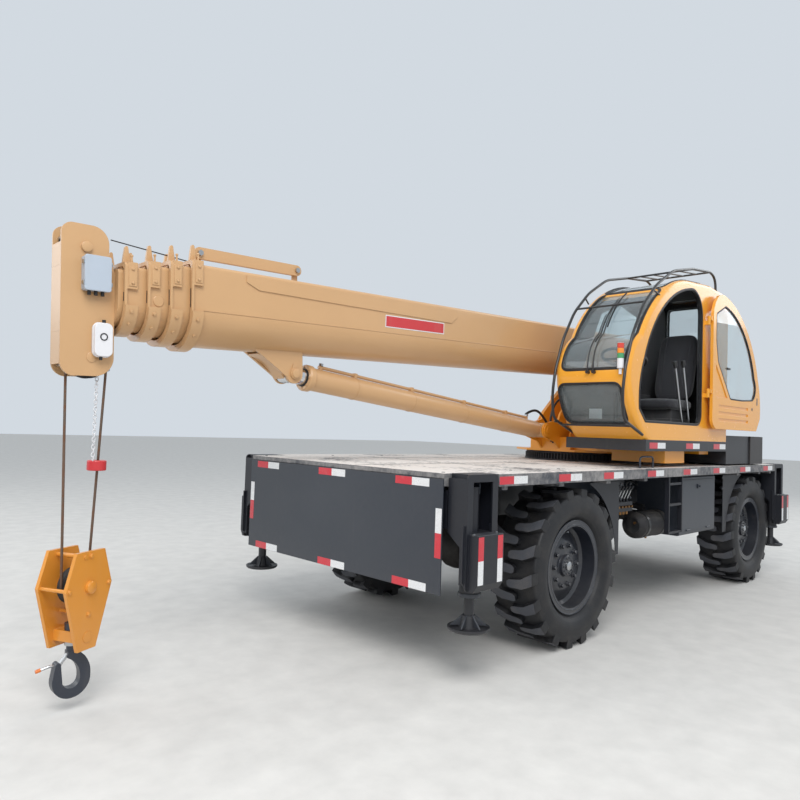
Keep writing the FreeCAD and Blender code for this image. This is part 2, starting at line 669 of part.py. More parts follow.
def outrigger_beam(end, side):
    """Beam, leg and jack sleeve that slide out together. end 1 front, side 1 left."""
    cx = leg_x(end)
    bx = cx + side * end * BEAM_PITCH
    w2 = LEG_W / 2
    z1 = BEAM_BOTTOM + BEAM_H
    beam = box(bx - BEAM_W / 2, bx + BEAM_W / 2, -BEAM_REACH, LEG_IN + 6, BEAM_BOTTOM, z1)
    beam = beam.cut(box(bx - BEAM_W / 2 + BEAM_WALL, bx + BEAM_W / 2 - BEAM_WALL, -BEAM_REACH, LEG_IN,
                        BEAM_BOTTOM + BEAM_WALL, z1 - BEAM_WALL))
    front = plate_xz(rounded(cx - w2, cx + w2, LEG_BOTTOM, LEG_TOP, 28), LEG_OUT - LEG_PLATE, LEG_OUT)
    front = front.cut(box(cx - 94, cx + 94, LEG_OUT - LEG_PLATE, LEG_OUT, LEG_BOX_TOP + 3, 1248))
    back = box(cx - w2, cx + w2, LEG_IN, LEG_IN + LEG_PLATE, 940, LEG_TOP - 28)
    # the leg is shallower beside the tyre than above it
    low_in = TRACK_HALF + TYRE_WIDTH / 2 + 8
    cheeks = []
    for s in (-1, 1):
        edge = [(LEG_OUT - LEG_PLATE, 640), (low_in, 640), (low_in, 860), (LEG_IN, 940),
                (LEG_IN, LEG_TOP - 28), (LEG_OUT - LEG_PLATE, LEG_TOP - 28)]
        cheeks.append(plate_yz(edge, cx + s * w2, cx + s * (w2 - LEG_PLATE)))
    cap = box(cx - w2 + 28, cx + w2 - 28, LEG_IN, LEG_OUT - LEG_PLATE, LEG_TOP - 12, LEG_TOP)
    caps = [cap] + [box(cx + s * w2, cx + s * (w2 - 40), LEG_IN, LEG_OUT - LEG_PLATE,
                        LEG_TOP - 40, LEG_TOP - 28) for s in (-1, 1)]
    caps.append(box(cx - w2 + 28, cx - w2 + 40, LEG_IN, LEG_OUT - LEG_PLATE, LEG_TOP - 40, LEG_TOP))
    caps.append(box(cx + w2 - 40, cx + w2 - 28, LEG_IN, LEG_OUT - LEG_PLATE, LEG_TOP - 40, LEG_TOP))
    wing = plate_xz([(cx - w2 - 18, 660), (cx - w2 + 40, LEG_BOTTOM), (cx + w2 - 40, LEG_BOTTOM),
                     (cx + w2 + 18, 660), (cx + w2 + 18, 990), (cx - w2 - 18, 990)],
                    LEG_OUT - 2 * LEG_PLATE, LEG_OUT - LEG_PLATE)
    wing = wing.cut(box(cx - 94, cx + 94, LEG_IN, LEG_OUT, LEG_BOX_TOP + 3, 1100))
    b2 = LEG_BOX_W / 2
    shell = plate_yz([(LEG_OUT, LEG_BOTTOM), (LEG_BOX_OUT - 30, LEG_BOTTOM), (LEG_BOX_OUT, 650),
                      (LEG_BOX_OUT, LEG_BOX_TOP), (LEG_OUT, LEG_BOX_TOP)], cx - b2, cx + b2)
    floor = box(cx - w2 + LEG_PLATE, cx + w2 - LEG_PLATE, LEG_IN + 12, LEG_OUT - 2 * LEG_PLATE,
                LEG_BOX_TOP - LEG_PLATE, LEG_BOX_TOP)
    foot = box(cx - w2, cx + w2, low_in, LEG_OUT - 2 * LEG_PLATE, 640, 652)
    jack = (cx, JACK_Y)
    sleeve = rod(JACK_SLEEVE_R, (*jack, 548), (*jack, LEG_BOX_TOP))
    barrel = rod(JACK_BARREL_R, (*jack, LEG_BOX_TOP - 5), (*jack, 1215))
    lug = rod(24, (cx - 40, JACK_Y, 1196), (cx + 40, JACK_Y, 1196))
    whole = fuse([beam, front, back] + cheeks + caps + [wing, shell, floor, foot, sleeve, barrel, lug])
    whole = whole.cut(rod(JACK_ROD_R + 1, (*jack, 500), (*jack, 1170)))
    return [whole if side > 0 else mirror(whole)]


def jack_rod(end, side):
    """Jack rod with its round foot pad."""
    cx = leg_x(end)
    at = (cx, JACK_Y)
    stem = rod(JACK_ROD_R, (*at, PAD_BOTTOM + 60), (*at, 1150))
    pad = lathe_z([(0, PAD_BOTTOM), (PAD_R - 10, PAD_BOTTOM), (PAD_R, PAD_BOTTOM + 10),
                   (PAD_R, PAD_BOTTOM + 22), (PAD_R - 10, PAD_BOTTOM + 22), (PAD_R - 16, PAD_BOTTOM + 14),
                   (58, PAD_BOTTOM + 18), (40, PAD_BOTTOM + 90), (0, PAD_BOTTOM + 90)], at)
    whole = fuse([stem, pad])
    return [whole if side > 0 else mirror(whole)]


# Upper works


def turret():
    """Base plate, inner bearing ring, two tall cheeks and the nose that holds the lift cylinder."""
    base0 = RING_TOP + RUNNING_GAP
    base1 = base0 + TURRET_BASE
    w = TURRET_HALF
    plan = [(TURRET_FRONT, -TURRET_FRONT_HALF), (TURRET_FRONT, TURRET_FRONT_HALF), (-1000, w),
            (-1900, w), (-2720, 400), (-2720, -400), (-1900, -w), (-1000, -w)]
    base = plate_xy(plan, base0, base1)
    inner = pipe(RING_IN - SLEW_GAP, RING_IN - 65, (SLEW_X, 0, DECK_TOP + SLEW_GAP), (SLEW_X, 0, base0))
    px, pz = FOOT_X, FOOT_Z
    cheek = plate_xz([(TURRET_FRONT, base1), (TURRET_FRONT, 1560), (-951, 1773), (-1240, 2017),
                      (px + 190, pz + 100), ((px + 60, pz + 170), (px - 130, pz + 95)), (-2640, pz - 140),
                      (-2720, base1)], CHEEK_IN, CHEEK_IN + CHEEK_T)
    boss = rod(110, (px, CHEEK_IN, pz), (px, CHEEK_IN + CHEEK_T + 24, pz))
    cheeks = [fuse([cheek, boss])]
    cheeks.append(mirror(cheeks[0]))
    hole = rod(FOOT_PIN_R + RUNNING_GAP, (px, -400, pz), (px, 400, pz))
    cheeks = [c.cut(hole) for c in cheeks]
    bx, bz = CYL_BASE
    nose = plate_xz([(-1100, base1), (TURRET_FRONT - 8, base1), (TURRET_FRONT + 82, 1480), (bx + 10, bz - 72),
                     ((bx + 72, bz), (bx + 10, bz + 72)), (TURRET_FRONT + 22, 1700), (TURRET_FRONT - 8, 1767),
                     (-1062, 1990), (-1100, 1990)], NOSE_IN, NOSE_IN + NOSE_T)
    nose_boss = rod(62, (bx, NOSE_IN, bz), (bx, NOSE_IN + NOSE_T + 14, bz))
    noses = both(fuse([nose, nose_boss]))
    pin = rod(30, (bx, -NOSE_IN - NOSE_T - 20, bz), (bx, NOSE_IN + NOSE_T + 20, bz))
    parts = [base, inner] + cheeks + noses + [pin]
    parts.append(box(-1116, -1100, -CHEEK_IN, CHEEK_IN, base1, 1960))
    parts.append(box(-2710, -2694, -CHEEK_IN, CHEEK_IN, base1, 1600))
    # front wall under the lift cylinder
    parts.append(box(TURRET_FRONT - 16, TURRET_FRONT, -CHEEK_IN, CHEEK_IN, base1, bz - 60))
    # box bearer under the cab, and flat bearers for the other platforms
    deep = box(-1245, -841, RING_R + 55, PLATFORM_OUT - 75, BEARER_BOTTOM, PLATFORM_BOTTOM)
    parts.append(deep)
    for x0, x1, y0, y1 in ((-1245, -841, CHEEK_IN, RING_R + 60), (-1930, -1710, CHEEK_IN, PLATFORM_OUT - 125),
                           (-1820, -1600, -STEP_OUT + 60, -CHEEK_IN)):
        parts.append(box(x0, x1, y0, y1, base1, PLATFORM_BOTTOM))
    return [fuse(parts)]


def side_platforms():
    """Framed platforms beside the turret: the cab's on the left and a short one on the right."""
    out = []
    # front X, rear X, Y of the two sides
    for x1, x0, y0, y1 in ((PLATFORM_FRONT, PLATFORM_REAR, CAB_IN - 67, PLATFORM_OUT),
                           (STEP_FRONT, STEP_REAR, -STEP_OUT, -CHEEK_IN - CHEEK_T)):
        slab = box(x0, x1, y0, y1, PLATFORM_BOTTOM, PLATFORM_TOP)
        slab = slab.cut(box(x0 + 8, x1 - 8, y0 + 8, y1 - 8, PLATFORM_BOTTOM, PLATFORM_TOP - 8))
        count = int((x1 - x0) / 300)
        ribs = [box(x - 6, x + 6, y0, y1, PLATFORM_BOTTOM, PLATFORM_TOP)
                for x in (x0 + (x1 - x0) * (i + 1) / (count + 1) for i in range(count))]
        out.append(fuse([slab] + ribs))
    return out


def tail_boxes():
    """Closed boxes between the platforms and the counterweight."""
    z0, z1 = WEIGHT_BOTTOM + 6, WEIGHT_TOP - 2
    y0 = TURRET_HALF + 8
    return [box(PLATFORM_REAR, WEIGHT_FRONT, y0, PLATFORM_OUT - 20, z0, z1),
            box(PLATFORM_REAR, WEIGHT_FRONT, -y0, -PLATFORM_OUT + 125, z0, z1)]


def counterweight():
    """Cast block across the tail."""
    c = 60.0
    w = PLATFORM_OUT - 5
    plan = [(WEIGHT_FRONT, -w), (WEIGHT_FRONT, w), (WEIGHT_REAR + c, w), (WEIGHT_REAR, w - 2 * c),
            (WEIGHT_REAR, -w + 2 * c), (WEIGHT_REAR + c, -w)]
    body = plate_xy(plan, WEIGHT_BOTTOM, WEIGHT_TOP)
    tongue = box(-2720, WEIGHT_FRONT, -400, 400, 1412, 1560)
    return [fuse([body, tongue])]


def winch():
    """Rope drum between the cheeks with its two flanges, motor and bed."""
    x, z = -2480.0, 1840.0
    drum = rod(135, (x, -170, z), (x, 170, z))
    flanges = [rod(200, (x, s * 156, z), (x, s * 172, z)) for s in (-1, 1)]
    axle = rod(60, (x, -CHEEK_IN, z), (x, CHEEK_IN, z))
    return [fuse([drum, axle] + flanges)]


def hydraulic_tank():
    """Oil tank on the turret's base behind the right platform, with its filler."""
    x0, x1 = STEP_REAR - 590, STEP_REAR - 50
    y0 = CHEEK_IN + CHEEK_T + 8
    z0 = RING_TOP + RUNNING_GAP + TURRET_BASE
    z1 = z0 + 560
    body = plate_yz(rounded(-y0 - 250, -y0, z0, z1, 40), x0, x1)
    cap = rod(45, (x1 - 120, -y0 - 125, z1 - 10), (x1 - 120, -y0 - 125, z1 + 45))
    return [fuse([body, cap])]


# Cab


def cab_profile(inset):
    """Side outline of the cab in X and Z, pulled in by a wall."""
    pts = [(-317, PLATFORM_TOP), ((-110, 1735), (-12, 1950)), ((-20, 2190), (-204, 2412)),
           ((-560, 2796), (-1130, 3012)), (-1620, 3052), (-1880, 3030), ((-2060, 2960), (-2099, 2790)),
           (-2099, PLATFORM_TOP)]
    w = wire(pts, lambda p: V(p[0], 0, p[1]))
    if inset:
        w = w.makeOffset2D(-inset)
    return w


def cab_block(inset, y0, y1):
    """Solid with the cab's side outline between two planes."""
    face = Part.Face(cab_profile(inset))
    block = face.extrude(V(0, y1 - y0, 0))
    block.translate(V(0, y0, 0))
    return block


def rounded_cab(grow):
    """Outside of the cab with its long side edges rounded."""
    block = cab_block(-grow, CAB_IN - grow, CAB_OUT + grow)
    edges = [e for e in block.Edges if e.BoundBox.YLength < 1 and e.BoundBox.ZMax > PLATFORM_TOP + 5]
    return block.makeFillet(CAB_ROUND, edges)


def cab_openings():
    """Cutters for the openings, by name."""
    far = 400.0
    a, b = CAB_IN, CAB_OUT
    screen = plate_yz(rounded(a + 70, b - 40, 2105, 2860, 50), -650, far)
    lower = plate_yz(rounded(a + 35, b - 75, 1655, 1985, 60), -420, far)
    roof = plate_xy(rounded(-1500, -690, a + 70, b - 50, 40), 2700, 3200)
    side = plate_xz([(-330, 2060), (-1500, 2060), (-1500, 2780), (-1130, 2860), (-700, 2700)],
                    CAB_IN - 100, CAB_IN + 100)
    rear = plate_yz(rounded(a + 60, b - 100, 2375, 2925, 50), -2300, -1950)
    door = plate_xz(door_outline(0.0), CAB_OUT - 100, CAB_OUT + 100)
    return {"screen": screen, "lower": lower, "roof": roof, "side": side, "rear": rear, "door": door}


def door_outline(grow):
    """Outline of the doorway in X and Z, grown for the door that closes it."""
    g = grow
    return [(-295 + g, 1683 - g), (-1330 - g, 1683 - g), ((-1405 - g * 0.9, 1713 - g * 0.9), (-1432 - g, 1790)),
            (-1432 - g, 2700), ((-1370 - g * 0.8, 2870 + g * 0.7), (-1140, 2930 + g)),
            ((-620 + g * 0.7, 2700 + g * 0.7), (-258 + g, 2200)), ((-190 + g, 2000), (-185 + g, 1800)),
            (-185 + g, 1790)]


def cab_shell():
    """Welded cab body with its floor, pillars and roof."""
    body = rounded_cab(0.0)
    room = cab_block(CAB_WALL, CAB_IN + CAB_WALL, CAB_OUT - CAB_WALL)
    body = body.cut(room)
    for cutter in cab_openings().values():
        body = body.cut(cutter)
    parts = [body]
    for z in DOOR_HINGES:
        parts.append(rod(14, (HINGE_X, HINGE_Y, z), (HINGE_X, HINGE_Y, z + HINGE_H)))
        parts.append(box(HINGE_X - 12, HINGE_X + 12, CAB_OUT - 2, HINGE_Y, z, z + HINGE_H))
        parts.append(rod(HINGE_PIN_R, (HINGE_X, HINGE_Y, z), (HINGE_X, HINGE_Y, z + 2 * HINGE_H + 6)))
    return [fuse(parts)]


def cab_glass():
    """Panes set in the cab's openings."""
    cut = cab_openings()
    skin = cab_block(12.0, CAB_IN + 12, CAB_OUT - 12).cut(cab_block(12.0 + GLASS, CAB_IN + 12 + GLASS,
                                                                 CAB_OUT - 12 - GLASS))
    return [skin.common(cut[name]) for name in ("screen", "lower", "roof", "side", "rear")]


def swing_door(shape):
    """Turn a piece drawn on the closed door to where the door stands, folded back."""
    shape.rotate(V(HINGE_X, HINGE_Y, 0), V(0, 0, 1), -180)
    return shape


def door_window():
    """Outline of the door's window."""
    return [(-700, 1960), (-1010, 1960), (-1330, 2300), (-1380, 2500), (-1380, 2760), (-1160, 2860),
            ((-690, 2680), (-340, 2200)), ((-300, 2080), (-420, 1975))]


def cab_door():
    """Pressed door with its window hole, drawn closed and stored folded back."""
    y0, y1 = CAB_OUT + DOOR_GAP, CAB_OUT + DOOR_GAP + DOOR_T
    leaf = plate_xz(door_outline(26.0), y0, y1)
    leaf = leaf.cut(plate_xz(door_window(), y0, y1))
    # grooves and a three-cornered pocket pressed in the inner face
    for z in (1735.0, 1800.0, 1865.0):
        leaf = leaf.cut(box(-520, -1300, y0, y0 + 8, z, z + 26))
    leaf = leaf.cut(plate_xz([(-1090, 1965), (-1385, 1965), (-1385, 2275)], y0, y0 + 8))
    parts = [leaf]
    for z in DOOR_HINGES:
        low = z + HINGE_H + RUNNING_GAP
        parts.append(box(HINGE_X, -1440, y0 + 6, y1, low, low + HINGE_H))
        parts.append(rod(14, (HINGE_X, HINGE_Y, low), (HINGE_X, HINGE_Y, low + HINGE_H)))
    hole = rod(HINGE_PIN_R + RUNNING_GAP, (HINGE_X, HINGE_Y, 1700), (HINGE_X, HINGE_Y, 2800))
    return [swing_door(fuse(parts).cut(hole))]


def door_glass():
    """Pane of the door."""
    y = CAB_OUT + DOOR_GAP + DOOR_T / 2
    return [swing_door(plate_xz(door_window(), y - GLASS / 2, y + GLASS / 2))]


def cab_seat():
    """Seat on its box."""
    z = PLATFORM_TOP + CAB_WALL
    y = (CAB_IN + CAB_OUT) / 2
    base = box(-1180, -1600, y - 170, y + 170, z, z + 240)
    cushion = box(-1130, -1620, y - 200, y + 200, z + 240, z + 350)
    back = plate_xz([(-1540, z + 350), (-1620, z + 350), (-1800, z + 1000), (-1690, z + 1020)], y - 190, y + 190)
    return [fuse([base, cushion, back])]


def cab_controls():
    """Steering column with its wheel, and two lever stands beside the door."""
    z = PLATFORM_TOP + CAB_WALL
    y = (CAB_IN + CAB_OUT) / 2
    foot = box(-420, -600, y - 70, y + 70, z, z + 40)
    column = rod(30, (-500, y, z + 30), (-560, y, z + 640))
    wheel = Part.makeTorus(190, 14, V(-575, y, z + 672), V(-0.35, 0, 0.94))
    spokes = [rod(10, (-575, y - 190, z + 672), (-575, y + 190, z + 672))]
    hub = rod(40, (-556, y, z + 628), (-580, y, z + 690))
    column_set = fuse([foot, column, wheel, hub] + spokes)
    y = CAB_OUT - 100
    stand = [box(-1180, -1440, y - 30, y + 35, z, z + 60)]
    # levers: X at the foot, X and height of the knob
    for x, kx, kz in ((-1264.0, -1074.0, 658.0), (-1416.0, -1249.0, 681.0)):
        stand.append(rod(9, (x, y, z + 50), (kx, y, z + kz)))
        stand.append(rod(20, (kx - 8, y, z + kz - 24), (kx + 6, y, z + kz + 20)))
    return [column_set, fuse(stand)]


def guard_rails():
    """Two bent tubes in front of the cab, a cross bar and the roof rack."""
    y0, y1 = CAB_IN + 20, CAB_OUT - 20
    # corners of a tube: X, Z, radius of the bend there
    line = ((-290.0, 1575.0, 0.0), (38.0, 1690.0, 110.0), (62.0, 1900.0, 550.0), (22.0, 2110.0, 550.0),
            (-90.0, 2390.0, 550.0), (-260.0, 2650.0, 550.0), (-500.0, 2860.0, 550.0), (-820.0, 3040.0, 550.0),
            (-1240.0, 3135.0, 550.0), (-1640.0, 3180.0, 150.0), (-1770.0, 3150.0, 110.0), (-1790.0, 3000.0, 0.0))
    bends = [bend for _, _, bend in line]
    parts = [bent_tube([(x, y, z) for x, z, _ in line], RAIL_R, bends) for y in (y0, y1)]
    # cross bars: X, Z
    for x, z in ((-300.0, 2684.0), (-100.0, 1641.0), (-1240.0, 3134.0), (-1640.0, 3178.0)):
        parts.append(rod(9, (x, y0, z), (x, y1, z)))
    slats = 4
    for i in range(slats):
        y = y0 + (y1 - y0) * (i + 1) / (slats + 1)
        parts.append(rod(8, (-1240, y, 3134), (-1640, y, 3178)))
    return [fuse(parts).cut(rounded_cab(0.3))]


# Boom


def boom_place(shape):
    """Move a piece from the boom's own frame to where the parked boom lies."""
    shape.rotate(V(0, 0, 0), V(0, 1, 0), BOOM_DROP)
    shape.translate(V(FOOT_X, 0, FOOT_Z))
    return shape


def on_boom(s, n):
    """X and Z of a point of the parked boom."""
    a = math.radians(BOOM_DROP)
    return FOOT_X + s * math.cos(a) + n * math.sin(a), FOOT_Z - s * math.sin(a) + n * math.cos(a)


def section_size(index):
    """Half width, height and belly depth of a section, 0 being the outer one."""
    k = index * SECTION_STEP
    half = BASE_HALF - k
    return half, BASE_H - 2 * k, half


def section_outline(index, grow):
    """Cross outline of a section in Y and Z: flat top, upright sides, half-round belly."""
    half, height, belly = section_size(index)
    h = height / 2
    a = half + grow
    r = 24.0
    k = r * (1 - math.sqrt(0.5))
    return [(-a, -h + belly), ((0, -h - grow), (a, -h + belly)), (a, h + grow - r),
            ((a - k, h + grow - k), (a - r, h + grow)), (-a + r, h + grow),
            ((-a + k, h + grow - k), (-a, h + grow - r)), (-a, -h + belly)]


def section_tube(index, s0, s1):
    """Open tube of one section."""
    outer = plate_yz(section_outline(index, 0.0), s0, s1)
    return outer.cut(plate_yz(section_outline(index, -BOOM_WALL), s0, s1))


def section_front(index):
    """s of a section's front face."""
    return BASE_FRONT + index * COLLAR_PITCH


def collar(index):
    """Plate round a section's mouth, with a flange under it, corner blocks and two ears on top."""
    s1 = section_front(index)
    half, height, belly = section_size(index)
    top = height / 2
    spring = belly - top - 10       # the flange goes round the belly only
    plate = plate_yz(section_outline(index, MOUTH_GROW), s1 - MOUTH, s1)
    flange = plate_yz(section_outline(index, FLANGE_GROW), s1 - FLANGE, s1)
    flange = flange.common(box(s1 - FLANGE, s1, -BASE_HALF - 100, BASE_HALF + 100, -BASE_H, spring))
    blocks = both(box(s1 - FLANGE, s1 - MOUTH, half - 30, half + MOUTH_GROW, top - 130, top + MOUTH_GROW))
    band = fuse([plate, flange] + blocks)
    band = band.cut(plate_yz(section_outline(index, -1.0), s1 - FLANGE, s1))
    y = half - 34
    ear = plate_xz([(s1 - 52, top - 2), (s1 - 2, top - 2), (s1 - 6, top + EAR_H - 62), (s1 - 14, top + EAR_H - 10),
                    ((s1 - 23, top + EAR_H), (s1 - 32, top + EAR_H - 10)), (s1 - 40, top + EAR_H - 62)],
                   y - 9, y + 9)
    return [band] + both(ear)


def slide_pads(index):
    """Pads inside a section's mouth that the next section slides on."""
    half, height, belly = section_size(index)
    s0, s1 = section_front(index) - 95, section_front(index) - 5
    a = half - SECTION_STEP + RUNNING_GAP
    top = height / 2 - SECTION_STEP + RUNNING_GAP
    low = -height / 2 + belly
    pads = []
    for side in (-1, 1):
        pads.append(box(s0, s1, side * (half - 80), side * (half - 40), top, height / 2 - 1))
        pads.append(box(s0, s1, side * a, side * (half - 1), low + 30, low + 80))
    return pads


def boom_base():
    """Outer section with its foot, mouth collar, side doublers and the cylinder's lug."""
    half, height, belly = section_size(0)
    tube = section_tube(0, 330.0, BASE_FRONT)
    parts = [tube] + collar(0)
    rear = plate_yz(section_outline(0, 0.0), 330.0, 342.0)
    parts.append(rear)
    foot = plate_xz([(330, -height / 2 + belly - 75), (0, -130), ((-130, 0), (0, 130)), (330, height / 2 - 30)],
                    half - 40, half)
    eye = rod(120, (0, half - 60, 0), (0, half + 8, 0))
    parts += both(fuse([foot, eye]))
    parts.append(rod(60, (0, -half, 0), (0, half, 0)))
    pin = rod(FOOT_PIN_R, (0, -CHEEK_IN - CHEEK_T - 30, 0), (0, CHEEK_IN + CHEEK_T + 30, 0))
    parts.append(pin)
    # doublers along the upper corners
    for side in (-1, 1):
        strip = plate_xz([(3450, 100), (5250, 130), (5340, 170), (5340, height / 2 - 24), (3380, height / 2 - 24),
                          (3380, 150)], side * half, side * (half + 6))
        parts.append(strip)
    ls, ln = LUG_PIN
    low = -height / 2
    for side in (-1, 1):
        lug = plate_xz([(ls - 60, low + 130), (ls - 66, ln), ((ls, ln - 66), (ls + 62, ln - 22)),
                        (ls + 300, low + 10), (ls + 300, low + 60), (ls + 60, low + 130)],
                       side * (CYL_EYE_HALF + 10), side * (CYL_EYE_HALF + 30))
        parts.append(lug)
        parts.append(rod(38, (ls, side * (CYL_EYE_HALF + 10), ln), (ls, side * (CYL_EYE_HALF + 48), ln)))
    body = fuse(parts)
    hollow = plate_yz(section_outline(0, -BOOM_WALL), 342.0, BASE_FRONT + 10)
    return [boom_place(fuse([body.cut(hollow)] + slide_pads(0)))]


def boom_section(index):
    """Inner section: tube and its mouth collar."""
    front = section_front(index)
    tube = section_tube(index, 360.0 + 20 * index, front)
    parts = [tube] + collar(index)
    if index == SECTION_COUNT - 1:
        parts = [tube.common(box(0, HEAD_BACK, -400, 400, -400, 400))]
        parts += boom_head(index)
    body = fuse(parts)
    last = index == SECTION_COUNT - 1
    hollow = plate_yz(section_outline(index, -BOOM_WALL), 0.0, HEAD_BACK - 12 if last else front)
    body = body.cut(hollow)
    return [boom_place(body if last else fuse([body] + slide_pads(index)))]


def boom_head(index):
    """Two long side plates with their front plate, at the last section's end."""
    half, height, belly = section_size(index)
    b, f = HEAD_BACK, HEAD_FRONT
    t, d = HEAD_TOP, HEAD_BOTTOM
    close = plate_yz(section_outline(index, 0.0), b - 12, b)
    plates = []
    for side in (-1, 1):
        outline = [(b, d + 110), ((b + 30, d + 30), (b + 110, d)), (f - 90, d), ((f - 22, d + 20), (f, d + 70)),
                   (f, t - 60), ((f - 18, t - 15), (f - 60, t)), (b + 130, t), ((b + 60, t - 25), (b + 32, t - 90)),
                   (b + 32, t - 150), (b, t - 240)]
        plate = plate_xz(outline, side * (HEAD_HALF - HEAD_PLATE), side * HEAD_HALF)
        plates.append(plate)
    front = box(f - 12, f, -HEAD_HALF + HEAD_PLATE, HEAD_HALF - HEAD_PLATE, d + 230, t - 230)
    reach = HEAD_HALF + 12
    pins = [rod(HEAD_PIN_R, (TOP_SHEAVE[0], -reach, TOP_SHEAVE[1]), (TOP_SHEAVE[0], reach, TOP_SHEAVE[1])),
            rod(HEAD_PIN_R, (LOW_SHEAVE[0], -reach, LOW_SHEAVE[1]), (LOW_SHEAVE[0], HEAD_HALF, LOW_SHEAVE[1]))]
    return [close, front] + plates + pins


def sheave(r, bore, centre):
    """Rope wheel about a pin along Y, with a groove a little wider than the rope."""
    half, w = SHEAVE_HALF, ROPE_R + 1.0
    low = r - GROOVE
    return lathe_y([(-half, bore), (half, bore), (half, r), (w, low), (-w, low), (-half, r)], centre)


def rope_line(r):
    """Distance from a rope wheel's centre to the rope that runs off it."""
    return r - GROOVE + ROPE_R + 0.3


def head_sheaves():
    """Upper and lower rope wheels of the boom head."""
    bore = HEAD_PIN_R + RUNNING_GAP
    return [boom_place(sheave(SHEAVE_R, bore, (s, 0, n))) for s, n in (TOP_SHEAVE, LOW_SHEAVE)]


def top_arm():
    """Flat link on two small posts along the boom's top."""
    half, height, _ = section_size(0)
    y0, y1 = 92.0, 116.0
    s0, s1, n = 4905.0, 5606.0, 318.0
    bar = plate_xz([(s0, n - 35), (s1, n - 35), ((s1 + 35, n), (s1, n + 35)), (s0, n + 35),
                    ((s0 - 35, n), (s0, n - 35))], y0, y1)
    posts = [box(s - 20, s + 20, y0 - 14, y0, height / 2, n + 20) for s in (s0, s1)]
    bolts = [rod(14, (s, y0 - 14, n), (s, y1 + 8, n)) for s in (s0, s1)]
    return [boom_place(fuse([bar] + posts + bolts))]


def head_boxes():
    """Two small boxes on the head's left face."""
    y = HEAD_HALF
    upper = box(6128, 6262, y, y + 60, 18, 200)
    lower = box(6110, 6205, y, y + 50, -330, -150)
    return [boom_place(upper), boom_place(lower)]


# Lift cylinder


def cylinder_axis():
    """Base pin, lug pin, length between them and unit direction, in X and Z."""
    lx, lz = on_boom(*LUG_PIN)
    bx, bz = CYL_BASE
    length = math.hypot(lx - bx, lz - bz)
    return (bx, bz), (lx, lz), length, ((lx - bx) / length, (lz - bz) / length)


def lift_barrel():
    """Barrel with its base eye and the oil pipe along its top."""
    (bx, bz), _, length, (dx, dz) = cylinder_axis()

    def at(t, n=0.0, y=0.0):
        return (bx + dx * t - dz * n, y, bz + dz * t + dx * n)

    mouth = length - 130
    eye = rod(70, (bx, -NOSE_IN + CYL_GAP, bz), (bx, NOSE_IN - CYL_GAP, bz))
    body = rod(CYL_R, at(60), at(mouth))
    gland = rod(CYL_R + 6, at(mouth - 50), at(mouth))
    line = rod(12, at(200, CYL_R + 16), at(mouth - 120, CYL_R + 16))
    ports = [rod(16, at(t, CYL_R - 8), at(t, CYL_R + 20)) for t in (210.0, mouth - 140)]
    whole = fuse([eye, body, gland, line] + ports)
    whole = whole.cut(rod(CYL_ROD_R + 1, at(150), at(mouth + 5)))
    return [whole.cut(rod(30 + RUNNING_GAP, (bx, -200, bz), (bx, 200, bz)))]


def lift_rod():
    """Rod with the eye that meets the boom's lug."""
    (bx, bz), (lx, lz), length, (dx, dz) = cylinder_axis()

    def at(t):
        return (bx + dx * t, 0.0, bz + dz * t)

    stem = rod(CYL_ROD_R, at(170), at(length - 40))
    eye = rod(62, (lx, -CYL_EYE_HALF, lz), (lx, CYL_EYE_HALF, lz))
    return [fuse([stem, eye]).cut(rod(30, (lx, -CYL_EYE_HALF, lz), (lx, CYL_EYE_HALF, lz)))]


# Hook


def hang_point():
    """X and Z of the lower head sheave, from which the hook hangs."""
    return on_boom(*LOW_SHEAVE)


def turn_block(shape):
    """Turn a piece of the hook block about the rope's upright line."""
    x, _ = hang_point()
    shape.rotate(V(x, 0, 0), V(0, 0, 1), BLOCK_TURN)
    return shape


def rope_falls():
    """The two falls of rope between the boom head and the hook block."""
    x, z = hang_point()
    top, low = rope_line(SHEAVE_R), rope_line(BLOCK_SHEAVE_R)
    a = math.radians(BLOCK_TURN)
    out = []
    for s in (-1, 1):
        out.append(rod(ROPE_R, (x + s * top, 0, z),
                       (x + s * low * math.cos(a), s * low * math.sin(a), BLOCK_MID)))
    return out


def hook_block():
    """Two six-sided plates with spacers, the sheave between them and the cross-head."""
    x, _ = hang_point()
    w0, w1, w2 = BLOCK_HALVES
    o, t = BLOCK_HALF_OUT, BLOCK_PLATE
    parts = []
    for side in (-1, 1):
        pts = [(x - w2, BLOCK_BOTTOM), (x + w2, BLOCK_BOTTOM), (x + w1, BLOCK_MID), (x + w0, BLOCK_TOP),
               (x - w0, BLOCK_TOP), (x - w1, BLOCK_MID)]
        parts.append(plate_xz(pts, side * (o - t), side * o))
    # spacer bars: X offset, Z, radius
    for dx, z, r in ((w1 - 22, BLOCK_MID, 10), (-w1 + 22, BLOCK_MID, 10), (0, BLOCK_MID, BLOCK_PIN_R),
                     (40, BLOCK_TOP - 26, 12), (0, 520, 10)):
        parts.append(rod(r, (x + dx, -o - 6, z), (x + dx, o + 6, z)))
    cross = box(x - 42, x + 42, -o + t, o - t, 372, 430)
    parts.append(cross)
    body = fuse(parts)
    body = body.cut(rod(24.5, (x, 0, 350), (x, 0, 450)))
    return [turn_block(body)]


def block_sheave():
    """Rope wheel of the hook block."""
    x, _ = hang_point()
    return [turn_block(sheave(BLOCK_SHEAVE_R, BLOCK_PIN_R + RUNNING_GAP, (x, 0, BLOCK_MID)))]


